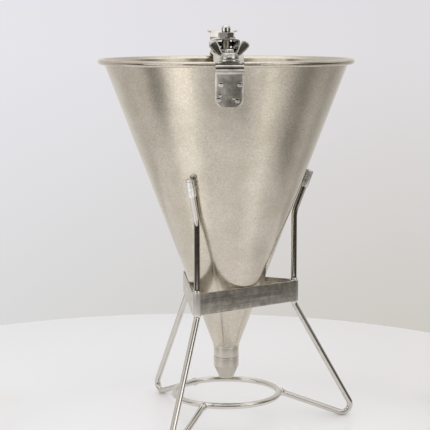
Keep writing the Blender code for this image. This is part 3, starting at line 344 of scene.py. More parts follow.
# Stand
WIRE_RADIUS = 0.0024
STAND_TURN = radians(94.35)
RING_RADIUS = 0.0420
RING_HEIGHT = 0.0218
UPRIGHT_RADIUS = 0.0545
FOOT_BEND_RADIUS = 0.0065
FOOT_BEND_REACH = 0.0948
KNEE_DROP = 0.0015  # from the band's lower edge to the wire's knee
KNEE_BEND_RADIUS = 0.0100
TIP_BEND_RADIUS = 0.0250
TIP_HEIGHT = 0.2005
BAND_HEIGHT = 0.0167
BAND_SHEET = 0.0010
BAND_WELD = 0.0009  # height of the beads above and below it
RING_WELD = 0.0010
SLEEVE_RADIUS = 0.0035  # of the solid; it holds the tip off the cone
SLEEVE_WALL = 0.0008
SLEEVE_SKIN = 0.0032  # radius of the sleeve that shows
SLEEVE_LENGTH = 0.0145
SLEEVE_CROWN = 0.0018  # height of its rounded end

# Screws, bracket and strap
SCREW_RADIUS = 0.003175
SCREW_BORE = SCREW_RADIUS + 0.0004
THREAD_PITCH = 0.00127
THREAD_GROOVE = 0.0005
BRACKET_HALF = 0.0098
BRACKET_SHEET = 0.0010
BRACKET_LOW = 0.2567
BRACKET_CORNER = 0.0055
BRACKET_BENDS = (0.0040, 0.0018, 0.0013)  # off the wall, up the bulge, over into the tab
BULGE_STRAIGHT = 0.0006
WALL_LEAVE = 0.0020  # a strip this far off the wall no longer follows its curve
WELD_BUTTONS = ((-0.0074, 0.2729), (0.0062, 0.2731), (-0.0058, 0.2612), (0.0076, 0.2620))
WELD_MARKS = ((0.0065, 0.2649), (-0.0031, 0.2628))
STUD_REACH = 0.0860
STUD_TOP = 0.2982
STUD_FOOT = (0.0050, 0.0012)  # radius and thickness
SHANK_TOP = 0.2930  # plain core of the stud; the thread starts a little below its top
TAB_END = 0.0100
TAB_BOTTOM = BEAD_HEIGHT - RIM_NOTCH_DEPTH + GAP
CLAMP_BOTTOM = TAB_BOTTOM + BRACKET_SHEET + GAP
BRIDGE_HALF = 0.0104
BRIDGE_SHEET = 0.0015
BRIDGE_TOP = 0.2944
BRIDGE_BEND = 0.0050
BRIDGE_FRONT = (-0.0955, -0.0768, -0.0620)  # its front end, and where it starts and stops rising
BRIDGE_DROP = 0.0896  # where it turns down to the rear rim
HOOK_END = radians(-62)
WASHER_BOTTOM = CLAMP_BOTTOM + BRIDGE_SHEET + GAP
WASHER_TOP = WASHER_BOTTOM + 0.0012
WASHER_RADIUS = 0.0079
WING_BOTTOM = WASHER_TOP + GAP
WING_THICKNESS = 0.0026

# Lever
PIVOT_Y = 0.0820
PIVOT_Z = 0.2995
LEVER_HALF = 0.0104
LEVER_SHEET = 0.0012
LEVER_CROWN = 0.0010
LEVER_TOP = 0.3052
LEVER_FRONT = -0.0140
LEVER_BACK = 0.0965
LEVER_NOSE = 0.0060  # radius of the flanges' front corners
LEVER_SLOT = 0.0018  # half the way between the ends of the rod's slot
HEEL_RADIUS = PIVOT_Z - BRIDGE_TOP - GAP
HEEL_TURN = radians(50)
FLANGE_END = 0.0032
TAIL_TURN = LEVER_BACK + 0.0020  # the tail turns up here
TAIL_RUN = 0.0045
TAIL_NECK = 0.0088
PAD_TOP = 0.3110
PAD_HALF = 0.0121
PAD_FRONT = TAIL_TURN + 0.0040
PAD_BACK = 0.1225
PAD_CORNER = 0.0050

# Plunger, its guide and its spring
NUT_FLATS = 0.0111
ROD_CAP = 0.0036  # radius of the rod's end above the nut, a little wider than the rod
ROD_DOME = 0.0028
ROD_CHAMFER = 0.0005
ROD_GUIDE = 0.0035  # bore of what the rod runs through or carries
BUSH_RADIUS = 0.0060
BUSH_FLANGE = 0.0085
BUSH_FLANGE_SHEET = 0.0016
BUSH_NUT_FLATS = 0.0140
BUSH_NUT_HEIGHT = 0.0026
SPRING_SEAT_RADIUS = 0.0070
PLUG_CLEAR = SHEET_ACROSS + GAP / CONE_COS  # how far the plug's side stays inside the cone's outside
PLUG_CHAMFER = 0.0010
SPRING_WIRE = 0.0014
SPRING_RADIUS = 0.0052
SPRING_TOP = 0.2830 - GAP
SPRING_LENGTH = 0.0400
SPRING_TURNS = 8
SPRING_CLOSED = 1.1  # closed turns at each end

# Handle
HANDLE_SHEET = 0.0020
HANDLE_HALF = 0.0110
HANDLE_CORNER = 0.0060
HANDLE_HIGH = (0.1380, 0.2740)  # the grip's upper and lower end, as (distance from the axis, height)
HANDLE_LOW = (0.1140, 0.1900)
HANDLE_FOOT = 0.0160 * CONE_COS  # height of each welded foot
HANDLE_BENDS = (0.0035, 0.0130, 0.0130, 0.0035)

FRONT = Matrix.Rotation(pi, 4, 'Z')  # front pieces are drawn with +Y outwards


def cone_radius(height):
    return WALL_TOP_RADIUS - (BEAD_HEIGHT - height) * CONE_SLOPE


def cone_height(radius):
    return BEAD_HEIGHT - (WALL_TOP_RADIUS - radius) / CONE_SLOPE


def wall_point(height, clear):
    """A point this far outside the cone's wall, square to it, level with the wall at height."""
    return (cone_radius(height) + clear / CONE_COS, height)


BAND_BOTTOM = cone_height(UPRIGHT_RADIUS / 2 + WIRE_RADIUS) - BAND_HEIGHT


# ------ shapes

def arc(centre, radius, start, end, steps):
    angles = [start + (end - start) * i / steps for i in range(steps + 1)]
    return [(centre[0] + radius * cos(a), centre[1] + radius * sin(a)) for a in angles]


def rectangle(left, right, low, high):
    return [(left, low), (right, low), (right, high), (left, high)]


def circle(count):
    """Angles evenly round a full turn."""
    return [tau * i / count for i in range(count)]


def headings(points):
    """Direction of a path at each of its points."""
    last = len(points) - 1
    return [(points[min(i + 1, last)] - points[max(i - 1, 0)]).normalized() for i in range(len(points))]


def rounded(points, radii, steps=10):
    """A 2D path with an arc of the given radius at each inner corner."""
    path = [tuple(points[0])]
    for before, corner, after, radius in zip(points, points[1:], points[2:], radii):
        back = (Vector(before) - Vector(corner)).normalized()
        on = (Vector(after) - Vector(corner)).normalized()
        half = back.angle(on) / 2
        centre = Vector(corner) + (back + on).normalized() * radius / sin(half)
        first = Vector(corner) + back * radius / tan(half) - centre
        last = Vector(corner) + on * radius / tan(half) - centre
        start = atan2(first.y, first.x)
        turn = (atan2(last.y, last.x) - start + pi) % tau - pi
        path += arc(centre, radius, start, start + turn, steps)
    return path + [tuple(points[-1])]


def softened(outline, radius=0.0003, steps=3, closed=True):
    """An outline with its corners eased, by less where its sides are short."""
    path = []
    for i, corner in enumerate(outline):
        here = Vector(corner)
        back = Vector(outline[i - 1]) - here
        on = Vector(outline[(i + 1) % len(outline)]) - here
        open_end = not closed and i in (0, len(outline) - 1)
        if open_end or back.angle(-on) < radians(15):
            path.append(tuple(corner))
            continue
        reach = min(radius, back.length * 0.45, on.length * 0.45)
        start = here + back.normalized() * reach
        end = here + on.normalized() * reach
        for step in range(steps + 1):
            t = step / steps
            path.append(tuple((1 - t) ** 2 * start + 2 * t * (1 - t) * here + t ** 2 * end))
    return path


def dome(radius, height, top, steps):
    """Half outline of a rounded end, from the axis down to its side."""
    angles = [pi / 2 * i / steps for i in range(steps - 1, -1, -1)]
    return [(0, top)] + [(radius * cos(a), top - height + height * sin(a)) for a in angles]


def between(first, last, count):
    """Evenly spaced points on a line, both ends included."""
    return [Vector(first).lerp(Vector(last), i / count) for i in range(count + 1)]


def spaced(path, spacing):
    """A path with extra points, so that no two are further apart than this."""
    points = [Vector(path[0])]
    for start, end in zip(path, path[1:]):
        count = max(1, ceil((Vector(end) - Vector(start)).length / spacing))
        points += between(start, end, count)[1:]
    return points


def turned(profile, steps=96, closed=True):
    """A (radius, height) outline turned about Z; if not closed it runs from axis to axis."""
    bm = bmesh.new()
    verts = [bm.verts.new((radius, 0, height)) for radius, height in profile]
    ends = verts[1:] + verts[:1] if closed else verts[1:]
    edges = [bm.edges.new(pair) for pair in zip(verts, ends)]
    bmesh.ops.spin(bm, geom=verts + edges, cent=(0, 0, 0), axis=(0, 0, 1), angle=tau, steps=steps,
                   use_merge=True)
    bmesh.ops.remove_doubles(bm, verts=bm.verts, dist=1e-7)
    return bm


def stacked(loops, ring=False):
    """A body through loops of points; a ring closes on itself, others get end faces."""
    bm = bmesh.new()
    rows = [[bm.verts.new(point) for point in loop] for loop in loops]
    for row, above in zip(rows, rows[1:] + rows[:1] if ring else rows[1:]):
        for i in range(len(row)):
            bm.faces.new((row[i - 1], row[i], above[i], above[i - 1]))
    if not ring:
        bm.faces.new(rows[0])
        bm.faces.new(rows[-1][::-1])
    return bm


def prism(outline, low, high):
    return stacked([[(x, y, z) for x, y in outline] for z in (low, high)])


def sheet_loop(line, thickness):
    """The outline of a sheet's section along its middle line, with round edges."""
    points = [Vector(point) for point in line]
    squares = [Vector((-way.y, way.x)) * thickness / 2 for way in headings(points)]
    outer = [point + square for point, square in zip(points, squares)]
    inner = [point - square for point, square in zip(points, squares)]

    def edge(end, inside):
        """Half a turn about the sheet's end, from one face to the other."""
        return [end + Matrix.Rotation(-pi * i / 4, 2) @ (inside - end) for i in range(1, 4)]

    return outer + edge(points[-1], outer[-1]) + inner[::-1] + edge(points[0], inner[0])


def strip_line(half, crown=0.0, top=0.0, steps=6):
    """Middle line across a strip; crown is how far its sides drop below its middle."""
    return [(half * share, top - crown * share ** 2) for share in (i / steps - 1 for i in range(2 * steps + 1))]


def swept(path, sections):
    """A body along a path in the YZ plane, with a loop of (across, out) points at each point of the path."""
    points = [Vector(point) for point in path]
    ways = [(b - a).normalized() for a, b in zip(points, points[1:])]
    loops = []
    for point, section, before, after in zip(points, sections, ways[:1] + ways, ways + ways[-1:]):
        mitre = Vector((-before.y - after.y, before.x + after.x)).normalized()
        mitre /= mitre.dot(Vector((-after.y, after.x)))
        loops.append([(across, point.x + out * mitre.x, point.y + out * mitre.y) for across, out in section])
    return stacked(loops)


def tube(points, radii, sides=24):
    """A round wire along 3D points, with a radius for each."""
    across = (points[1] - points[0]).orthogonal()
    loops = []
    for point, radius, way in zip(points, radii, headings(points)):
        across = (across - way * across.dot(way)).normalized()
        up = way.cross(across)
        loops.append([point + radius * (cos(a) * across + sin(a) * up) for a in circle(sides)])
    return stacked(loops)


def round_ended(path, half, corner, both=True):
    """A strip's path and its half widths, for round corners at its start and, if both, at its end."""
    cuts = [corner * (1 - cos(pi / 16 * i)) for i in range(1, 9)]
    first, last = Vector(path[0]), Vector(path[-1])
    on = (Vector(path[1]) - first).normalized()
    back = (Vector(path[-2]) - last).normalized()
    start = [tuple(first + on * cut) for cut in cuts]
    end = [tuple(last + back * cut) for cut in reversed(cuts)] if both else []
    path = [path[0], *start, *path[1:-1], *end, path[-1]]
    runs = [0.0]
    for a, b in zip(path, path[1:]):
        runs.append(runs[-1] + (Vector(b) - Vector(a)).length)
    widths = []
    for run in runs:
        reach = min(run, corner, runs[-1] - run if both else corner)
        widths.append(half - corner + sqrt(max(0.0, corner ** 2 - (corner - reach) ** 2)))
    return path, widths


def plate(outline, thickness, edge, segments):
    """A flat plate from an (x, z) outline, thickened along Y about its middle, with eased edges."""
    bm = bmesh.new()
    face = bm.faces.new([bm.verts.new((x, -thickness / 2, z)) for x, z in outline])
    made = bmesh.ops.extrude_face_region(bm, geom=[face])
    far = [item for item in made["geom"] if isinstance(item, bmesh.types.BMVert)]
    bmesh.ops.translate(bm, verts=far, vec=(0, thickness, 0))
    bmesh.ops.recalc_face_normals(bm, faces=bm.faces)
    rims = [item for item in bm.edges if abs(item.verts[0].co.y - item.verts[1].co.y) < 1e-7]
    bmesh.ops.bevel(bm, geom=rims, offset=edge, segments=segments, profile=0.5, affect='EDGES')
    return bm


def hex_nut(flats, low, high, bore, turn):
    """A hexagon nut between two heights, with the curved chamfers that turning leaves on its corners."""
    face = flats / 2 * 0.95
    ease = 0.0003
    columns = []
    for angle in circle(96):
        side = flats / 2 / cos((angle + pi / 6) % (pi / 3) - pi / 6)
        fall = (side - face) * tan(radians(30))
        profile = [(bore, low + ease), (bore + ease, low), (face, low), (side, low + fall)]
        profile += [(radius, low + high - level) for radius, level in reversed(profile)]
        columns.append([(radius * cos(angle), radius * sin(angle), level) for radius, level in profile])
    return moved(stacked(list(zip(*columns)), True), Matrix.Rotation(turn, 4, 'Z'))


def threaded(bottom, top, radius):
    """A screw thread from bottom to top, run out at the top, as a body with both ends closed."""
    rows = ceil((top - bottom) / THREAD_PITCH * 8)
    loops = []
    for row in range(rows + 1):
        height = bottom + (top - bottom) * row / rows
        taper = min(1.0, (top - height) / (THREAD_PITCH * 0.7))
        loop = []
        for angle in circle(48):
            phase = (height / THREAD_PITCH - angle / tau) % 1.0
            groove = THREAD_GROOVE * (1 - min(1.0, abs(phase - 0.5) * 3)) + 0.0004 * (1 - taper)
            loop.append(((radius - groove) * cos(angle), (radius - groove) * sin(angle), height))
        loops.append(loop)
    return stacked(loops)


def moved(bm, matrix):
    bmesh.ops.transform(bm, matrix=matrix, verts=bm.verts)
    return bm


def at(x, y, z):
    return Matrix.Translation((x, y, z))


def as_mesh(name, bm):
    """Turns a shape into a mesh with its faces outwards."""
    bmesh.ops.recalc_face_normals(bm, faces=bm.faces)
    mesh = bpy.data.meshes.new(name)
    bm.to_mesh(mesh)
    bm.free()
    return mesh


def joined(*shapes):
    """Several shapes as one."""
    whole = bmesh.new()
    for shape in shapes:
        mesh = as_mesh("shape", shape)
        whole.from_mesh(mesh)
        bpy.data.meshes.remove(mesh)
    return whole


def add_object(name, data):
    obj = bpy.data.objects.new(name, data)
    scene.collection.objects.link(obj)
    return obj


def carved(shape, cutter):
    """One shape with another cut out of it."""
    objects = [add_object("carved", as_mesh("carved", bm)) for bm in (shape, cutter)]
    cut = objects[0].modifiers.new("cut", 'BOOLEAN')
    cut.operation = 'DIFFERENCE'
    cut.object = objects[1]
    evaluated = objects[0].evaluated_get(bpy.context.evaluated_depsgraph_get())
    result = bmesh.new()
    result.from_mesh(evaluated.to_mesh())
    evaluated.to_mesh_clear()
    for obj in objects:
        bpy.data.meshes.remove(obj.data)  # takes its object with it
    return result


def new_object(name, bm, material, place, sharp):
    """Puts a shape in the scene, smooth except at edges that turn by more than sharp degrees."""
    mesh = as_mesh(name, bm)
    mesh.shade_smooth()
    mesh.set_sharp_from_angle(angle=radians(sharp))
    mesh.materials.append(material)
    obj = add_object(name, mesh)
    obj.location = place
    return obj


def finish_piece(name, bm, finish, body, *stands_for, slot="polished_steel", sharp=38):
    """Makes the piece from its shape, dresses it, and lets it ride on its body in place of CAD nodes."""
    piece = new_object(name, bm, FINISHES[finish], AXIS, sharp)
    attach(piece, body)
    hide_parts(*stands_for)
    return piece


# ------ finishes

def spun_steel():
    """Cone: satin steel with the fine rings that spinning leaves, and faint water stains."""
    tree = new_tree("spun_steel")
    rings = tree.rings(6.0, 900.0, 2.0)
    cloud = tree.noise(34.0, 5.0, 0.66)
    grain = tree.noise(780.0, 2.0, 0.8)
    tone = tree.spread(cloud, 0.3, 0.7) * 0.4 + tree.spread(grain, 0.3, 0.7) * 0.6
    color = tree.mix(tone, (0.475, 0.434, 0.365), (0.81, 0.746, 0.64))
    stains = tree.spread(tree.noise(48.0, 4.0, 0.6), 0.50, 0.66, 0.0, 0.45)
    color = tree.mix(stains, color, (0.56, 0.498, 0.400))
    return tree.steel(color, 0.12 + 0.09 * cloud + 0.03 * rings, tree.bump(rings + grain, 0.00002, 0.25), 0.7)


def polished_steel(name, color, roughness):
    """Bright steel of the wires, screws and fittings, with faint drawing marks."""
    tree = new_tree(name)
    cloud = tree.noise(160.0, 3.0)
    marks = tree.noise(1400.0, 2.0)
    tone = tree.mix(cloud, [level * 0.93 for level in color], color)
    return tree.steel(tone, roughness + 0.08 * cloud, tree.bump(marks, 0.00001, 0.3))


def brushed_steel():
    """Band: coarsely brushed along its length, with a painted highlight at its bent corners."""
    tree = new_tree("brushed_steel")
    x, y, _ = tree.axes()
    streaks = tree.rings(14.0, 1500.0, 4.0)
    stains = tree.noise(170.0, 4.0, 0.6)
    tone = tree.mix(tree.spread(streaks * 0.5 + stains * 0.8, 0.4, 0.9), (0.23, 0.215, 0.187), (0.80, 0.752, 0.665))
    # Painted highlight down the band's bent corners
    bent = tree.spread(x * x + y * y, 0.0554 ** 2, 0.0568 ** 2, 0.0, 0.8)
    tone = tree.mix(bent, tone, (0.86, 0.83, 0.77))
    return tree.steel(tone, 0.28 + 0.12 * streaks, tree.bump(streaks, 0.00001, 0.5), 0.6)


def sheet_steel(name="sheet_steel", roughness=0.20, dull=(0.60, 0.57, 0.51)):
    """Bent sheet: bracket, strap, lever and handle, satin with small scratches and dull patches."""
    tree = new_tree(name)
    cloud = tree.noise(90.0, 4.0)
    drawn = tree.node("ShaderNodeMapping", {}, {"Vector": tree.place(), "Scale": (1.0, 0.25, 0.25)})
    scratches = tree.noise(1400.0, 2.0, vector=drawn)
    tone = tree.mix(tree.spread(cloud, 0.3, 0.7), dull, (0.74, 0.71, 0.65))
    return tree.steel(tone, roughness + 0.16 * cloud, tree.bump(scratches + cloud, 0.00002, 0.35))


def turned_steel():
    """Lathe-turned fittings: fine rings round their own axis, and painted shade on the nozzle's narrow end."""
    tree = new_tree("turned_steel")
    _, _, z = tree.axes()
    rings = tree.rings(30.0, 4200.0, 2.0)
    cloud = tree.noise(140.0, 3.0)
    tone = tree.mix(cloud, (0.65, 0.612, 0.535), (0.80, 0.755, 0.67))
    # Painted shade: the nozzle is made darker below its shoulder, in place of a darker reflection
    tip = tree.spread(z, NOZZLE_SHOULDER - 0.0006, NOZZLE_SHOULDER + 0.0006, 0.65, 0.0)
    tone = tree.mix(tip, tone, (0.50, 0.462, 0.39))
    return tree.steel(tone, 0.34 + 0.10 * rings, tree.bump(rings, 0.00001, 0.3), 0.4)


def sleeve_vinyl():
    """Tip sleeves: thin cloudy vinyl, bright from the wire close under it."""
    tree = new_tree("sleeve_vinyl")
    cloud = tree.noise(650.0, 3.0)
    tone = tree.mix(tree.spread(cloud, 0.35, 0.65), (0.66, 0.64, 0.605), (0.95, 0.935, 0.905))
    return tree.principled(Base_Color=tone, Metallic=0.8, Roughness=0.20 + 0.12 * cloud, Coat_Weight=0.5,
                           Coat_Roughness=0.06, Normal=tree.bump(cloud, 0.0001, 0.2))


def seal_rubber():
    tree = new_tree("seal_rubber")
    grain = tree.noise(900.0, 3.0)
    tone = tree.mix(grain, (0.035, 0.035, 0.035), (0.06, 0.06, 0.06))
    return tree.principled(Base_Color=tone, Roughness=0.6 + 0.15 * grain, Normal=tree.bump(grain, 0.0001, 0.3))


FINISHES = {
    "cone": spun_steel(),
    "wire": polished_steel("wire_steel", (0.72, 0.69, 0.64), 0.08),
    "bright": polished_steel("bright_steel", (0.74, 0.73, 0.70), 0.12),
    "plated": polished_steel("plated_steel", (0.36, 0.345, 0.315), 0.30),
    "cast": polished_steel("cast_steel", (0.64, 0.62, 0.59), 0.18),
    "band": brushed_steel(),
    "sheet": sheet_steel(),
    "bracket": sheet_steel("bracket_steel", 0.07, (0.36, 0.34, 0.30)),
    "turned": turned_steel(),
    "vinyl": sleeve_vinyl(),
    "rubber": seal_rubber(),
}


def dress_nodes():
    """Gives the CAD nodes that stay in view their finish."""
    for name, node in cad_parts.items():
        for slot in node.material_slots:
            slot.material = FINISHES["rubber" if name == "nozzle_gasket" else "bright"]


# ------ pieces

def build_cone_shell():
    """Spun cone with its rolled rim, cut away at the front where the bracket's tab crosses it."""
    lip = BEAD_HEIGHT - BEAD_LIP
    outside = between((OUTLET_RADIUS, CONE_BOTTOM), (cone_radius(lip), lip), 24)
    bead = arc((RIM_RADIUS - BEAD_RADIUS, BEAD_HEIGHT), BEAD_RADIUS, radians(205), radians(515), 30)
    inside = between((WALL_TOP_RADIUS - SHEET_ACROSS, BEAD_HEIGHT), (OUTLET_RADIUS - SHEET_ACROSS, CONE_BOTTOM), 24)
    side = BRACKET_HALF + 2 * GAP
    crossing = rectangle(-side, side, -RIM_RADIUS - BEAD_RADIUS, TAB_END - STUD_REACH)
    notch = prism(crossing, BEAD_HEIGHT - RIM_NOTCH_DEPTH, BEAD_HEIGHT + 2 * BEAD_RADIUS)
    shell = carved(turned(outside + bead + inside, 240), notch)
    finish_piece("cone_shell", shell, "cone", "funnel", "funnel_cone", slot="satin_steel", sharp=30)


def build_outlet_fittings():
    """Collar with its weld under the cone, and the nozzle with the lip at its top."""
    low, top = COLLAR_LOW.z, COLLAR_HIGH.z
    seam = NOZZLE_HIGH.z + 0.0001
    collar = [(COLLAR_BORE, top), (COLLAR_NECK, top), (COLLAR_NECK, top - 0.0006), (OUTLET_RADIUS, top - 0.0012),
              (OUTLET_RADIUS, seam), (THREAD_RADIUS, seam), (THREAD_RADIUS, low), (COLLAR_BORE, low)]
    finish_piece("spout_collar", turned(softened(collar, 0.0004)), "turned", "funnel", "outlet_collar")
    weld = arc((COLLAR_NECK, top), OUTLET_WELD, radians(80), radians(-80), 8)
    weld = [(0.0090, top + OUTLET_WELD), *weld, (0.0090, top - OUTLET_WELD)]
    finish_piece("collar_weld", turned(weld), "bright", "funnel", "outlet_collar")

    low, top = NOZZLE_LOW.z, NOZZLE_HIGH.z
    inside = THREAD_RADIUS + GAP
    outline = [(inside, top), (OUTLET_RADIUS, top), (OUTLET_RADIUS, NOZZLE_SHOULDER), (NOZZLE_TIP, low),
               (NOZZLE_BORE, low), (NOZZLE_BORE, low + NOZZLE_MOUTH), (COLLAR_BORE, NOZZLE_SHOULDER),
               (COLLAR_BORE, top - THREAD_DEPTH), (inside, top - THREAD_DEPTH)]
    finish_piece("spout_nozzle", turned(softened(outline, 0.0005)), "turned", "nozzle_body", "nozzle")
    lip = arc((COLLAR_NECK, top - NOZZLE_LIP), NOZZLE_LIP, -pi / 2, pi / 2, 8)
    lip += [(COLLAR_NECK - NOZZLE_LIP, top), (COLLAR_NECK - NOZZLE_LIP, top - 2 * NOZZLE_LIP)]
    finish_piece("nozzle_lip", turned(lip), "bright", "nozzle_body", "nozzle")


def leg_points():
    """The wire's middle line from the bottom ring to its tip, as (distance from the axis, height)."""
    foot = (FOOT_BEND_REACH, FOOT_BEND_RADIUS + WIRE_RADIUS)
    ring = (RING_RADIUS, RING_HEIGHT)
    knee = (UPRIGHT_RADIUS, BAND_BOTTOM - KNEE_DROP)

    def touch(point, side):
        """Angle on the foot bend at which the straight to this point leaves it."""
        away = Vector(point) - Vector(foot)
        return atan2(away.y, away.x) + side * acos(FOOT_BEND_RADIUS / away.length)

    bend = arc(foot, FOOT_BEND_RADIUS, touch(ring, 1) - tau, touch(knee, -1), 24)
    tip_bend = cone_height(UPRIGHT_RADIUS - (SLEEVE_RADIUS + GAP) / CONE_COS)
    tip = (UPRIGHT_RADIUS + (TIP_HEIGHT - tip_bend) * CONE_SLOPE, TIP_HEIGHT)
    upper = rounded([bend[-1], knee, (UPRIGHT_RADIUS, tip_bend), tip], [KNEE_BEND_RADIUS, TIP_BEND_RADIUS])
    return [ring] + bend + upper[1:]


def band_plan(clear):
    """Plan of a belt pulled round the three uprights, this far from their middles."""
    outline = []
    for leg in range(3):
        turn = STAND_TURN - pi / 2 + leg * tau / 3
        centre = (UPRIGHT_RADIUS * cos(turn), UPRIGHT_RADIUS * sin(turn))
        outline += arc(centre, clear, turn - pi / 3, turn + pi / 3, 16)
    return outline


def wire_thickness(point):
    """Radius of the wire with its weld beads: at the bottom ring, and above and below the band."""
    def bead(height, off, width):
        return height * exp(-(off / width) ** 2)

    reach = hypot(point.x, point.y)
    if point.z > RING_HEIGHT + WIRE_RADIUS:
        return (WIRE_RADIUS + bead(BAND_WELD, point.z - BAND_BOTTOM + 0.0003, 0.0011)
                + bead(BAND_WELD, point.z - BAND_BOTTOM - BAND_HEIGHT - 0.0002, 0.0009))
    if point.z < RING_HEIGHT + WIRE_RADIUS and reach < RING_RADIUS + 0.006:
        return WIRE_RADIUS + bead(RING_WELD, reach - RING_RADIUS - WIRE_RADIUS, 0.0018)
    return WIRE_RADIUS


def build_stand_pieces():
    """Three bent wires welded to the bottom ring and the band, and the sleeves on their tips."""
    ring = arc((RING_RADIUS, RING_HEIGHT), WIRE_RADIUS, 0, tau * 23 / 24, 23)
    finish_piece("ring_wire", turned(ring, 160), "wire", "stand", "base_ring")

    inner = WIRE_RADIUS + GAP
    section = softened(rectangle(inner, inner + BAND_SHEET, BAND_BOTTOM, BAND_BOTTOM + BAND_HEIGHT))
    loops = [[(x, y, height) for x, y in band_plan(clear)] for clear, height in section]
    finish_piece("wrapped_band", stacked(loops, True), "band", "stand", "band", slot="brushed_band")

    path = leg_points()
    tip = path[-1]
    below = SLEEVE_LENGTH - SLEEVE_WALL - 2 * GAP
    base = (tip[0] - below * CONE_SIN, tip[1] - below * CONE_COS)
    sleeve = dome(SLEEVE_SKIN, SLEEVE_CROWN, SLEEVE_LENGTH, 8)
    sleeve += softened([(SLEEVE_SKIN, 0.0040), (SLEEVE_SKIN, 0), (inner, 0), (inner, 0.0040)], closed=False)
    sleeve += [(inner, SLEEVE_LENGTH - SLEEVE_WALL - GAP), (0, SLEEVE_LENGTH - SLEEVE_WALL - GAP)]
    for leg, name in enumerate(("right", "rear", "front")):
        around = Matrix.Rotation(STAND_TURN + pi + leg * tau / 3, 4, 'Z')
        points = spaced([around @ Vector((0, reach, height)) for reach, height in path], 0.0010)
        wire = tube(points, [wire_thickness(point) for point in points])
        finish_piece("bent_wire_" + name, wire, "wire", "stand", "leg_wire_" + name)
        lean = around @ at(0, *base) @ Matrix.Rotation(-CONE_HALF_ANGLE, 4, 'X')
        cap = moved(turned(sleeve, 40, False), lean)
        finish_piece("wire_cap_" + name, cap, "vinyl", "stand", "tip_sleeve_" + name, slot="vinyl")


def wall_crown(point, half, middle):
    """How far the sides of a strip drop so that it follows the cone; none once it has left the wall."""
    reach, height = point
    off = (reach - cone_radius(height)) * CONE_COS - GAP - middle
    share = max(0.0, 1.0 - abs(off) / WALL_LEAVE)
    return share * half ** 2 / (2 * reach) * CONE_COS


def build_front_bracket():
    """Strip up the front of the cone, bulging out under the rim and rolled over into a level tab."""
    middle = BRACKET_SHEET / 2
    roll = RIM_RADIUS + GAP + middle
    tab = TAB_BOTTOM + middle
    roll_foot = tab - BRACKET_BENDS[2] - BULGE_STRAIGHT - BRACKET_BENDS[1]
    corners = [wall_point(BRACKET_LOW, GAP + middle), wall_point(roll_foot, GAP + middle), (roll, roll_foot),
               (roll, tab), (STUD_REACH - TAB_END, tab)]
    path, widths = round_ended(rounded(corners, BRACKET_BENDS), BRACKET_HALF, BRACKET_CORNER)
    sections = [sheet_loop(strip_line(half, -wall_crown(point, half, middle)), BRACKET_SHEET)
                for point, half in zip(path, widths)]
    lean = Matrix.Rotation(-pi / 2 - CONE_HALF_ANGLE, 4, 'X')
    button = [(0, 0.00070), (0.0006, 0.00067), (0.0011, 0.00056), (0.0016, 0.00034), (0.0020, 0.00006),
              (0.0021, -0.0006), (0, -0.0006)]
    mark = [(0, 0.00026), (0.0005, 0.00023), (0.0009, 0.00014), (0.0012, 0.00002), (0.0013, -0.0004), (0, -0.0004)]
    shapes = [swept(path, sections)]
    for profile, spots in ((button, WELD_BUTTONS), (mark, WELD_MARKS)):
        for x, height in spots:
            reach, height = wall_point(height, GAP + BRACKET_SHEET * 0.95)
            spot = at(x, reach - x ** 2 / (2 * reach), height)
            shapes.append(moved(turned(profile, 24, False), spot @ lean))
    finish_piece("bracket_strip", moved(joined(*shapes), FRONT), "bracket", "funnel", "front_bracket")


def build_clamp_pieces():
    """Threaded stud on the bracket's tab, its washer and the wing nut."""
    head = TAB_BOTTOM - GAP
    wide, thick = STUD_FOOT
    foot = [(0, head - thick), (wide, head - thick), (wide, head), (SCREW_RADIUS, head), (SCREW_RADIUS, SHANK_TOP),
            (0, SHANK_TOP)]
    stud = joined(turned(softened(foot, 0.0002, 2, False), 48, False),
                  threaded(SHANK_TOP - 0.0010, STUD_TOP, SCREW_RADIUS))
    place = FRONT @ at(0, STUD_REACH, 0)
    finish_piece("threaded_stud", moved(stud, place), "bright", "funnel", "clamp_stud")

    washer = softened(rectangle(SCREW_BORE, WASHER_RADIUS, WASHER_BOTTOM, WASHER_TOP))
    finish_piece("flat_washer", moved(turned(washer, 64), place), "bright", "funnel", "clamp_washer")

    hub = softened([(SCREW_BORE, WING_BOTTOM), (0.0070, WING_BOTTOM), (0.0070, WING_BOTTOM + 0.0012),
                    (0.0064, 0.2947), (0.0056, 0.2955), (SCREW_BORE, 0.2955)], 0.0004)
    under = [(0.0045, 0.2926), (0.0070, 0.2932), (0.0095, 0.2952), (0.0120, 0.2975), (0.0138, 0.2994)]
    tip = [(0.0145, 0.3009), (0.0142, 0.3020), (0.0134, 0.3029), (0.0119, 0.3039), (0.0105, 0.3045),
           (0.0094, 0.3044)]
    inside = [(0.0082, 0.3026), (0.0073, 0.3008), (0.0066, 0.2990), (0.0060, 0.2972), (0.0045, 0.2950)]
    wing = softened(under + tip + inside, 0.0006)
    wings = [plate([(side * x, z) for x, z in wing], WING_THICKNESS, 0.0010, 5) for side in (1, -1)]
    shape = moved(joined(turned(hub, 64), *wings), place)
    finish_piece("winged_nut", shape, "cast", "wing_nut_body", "wing_nut")


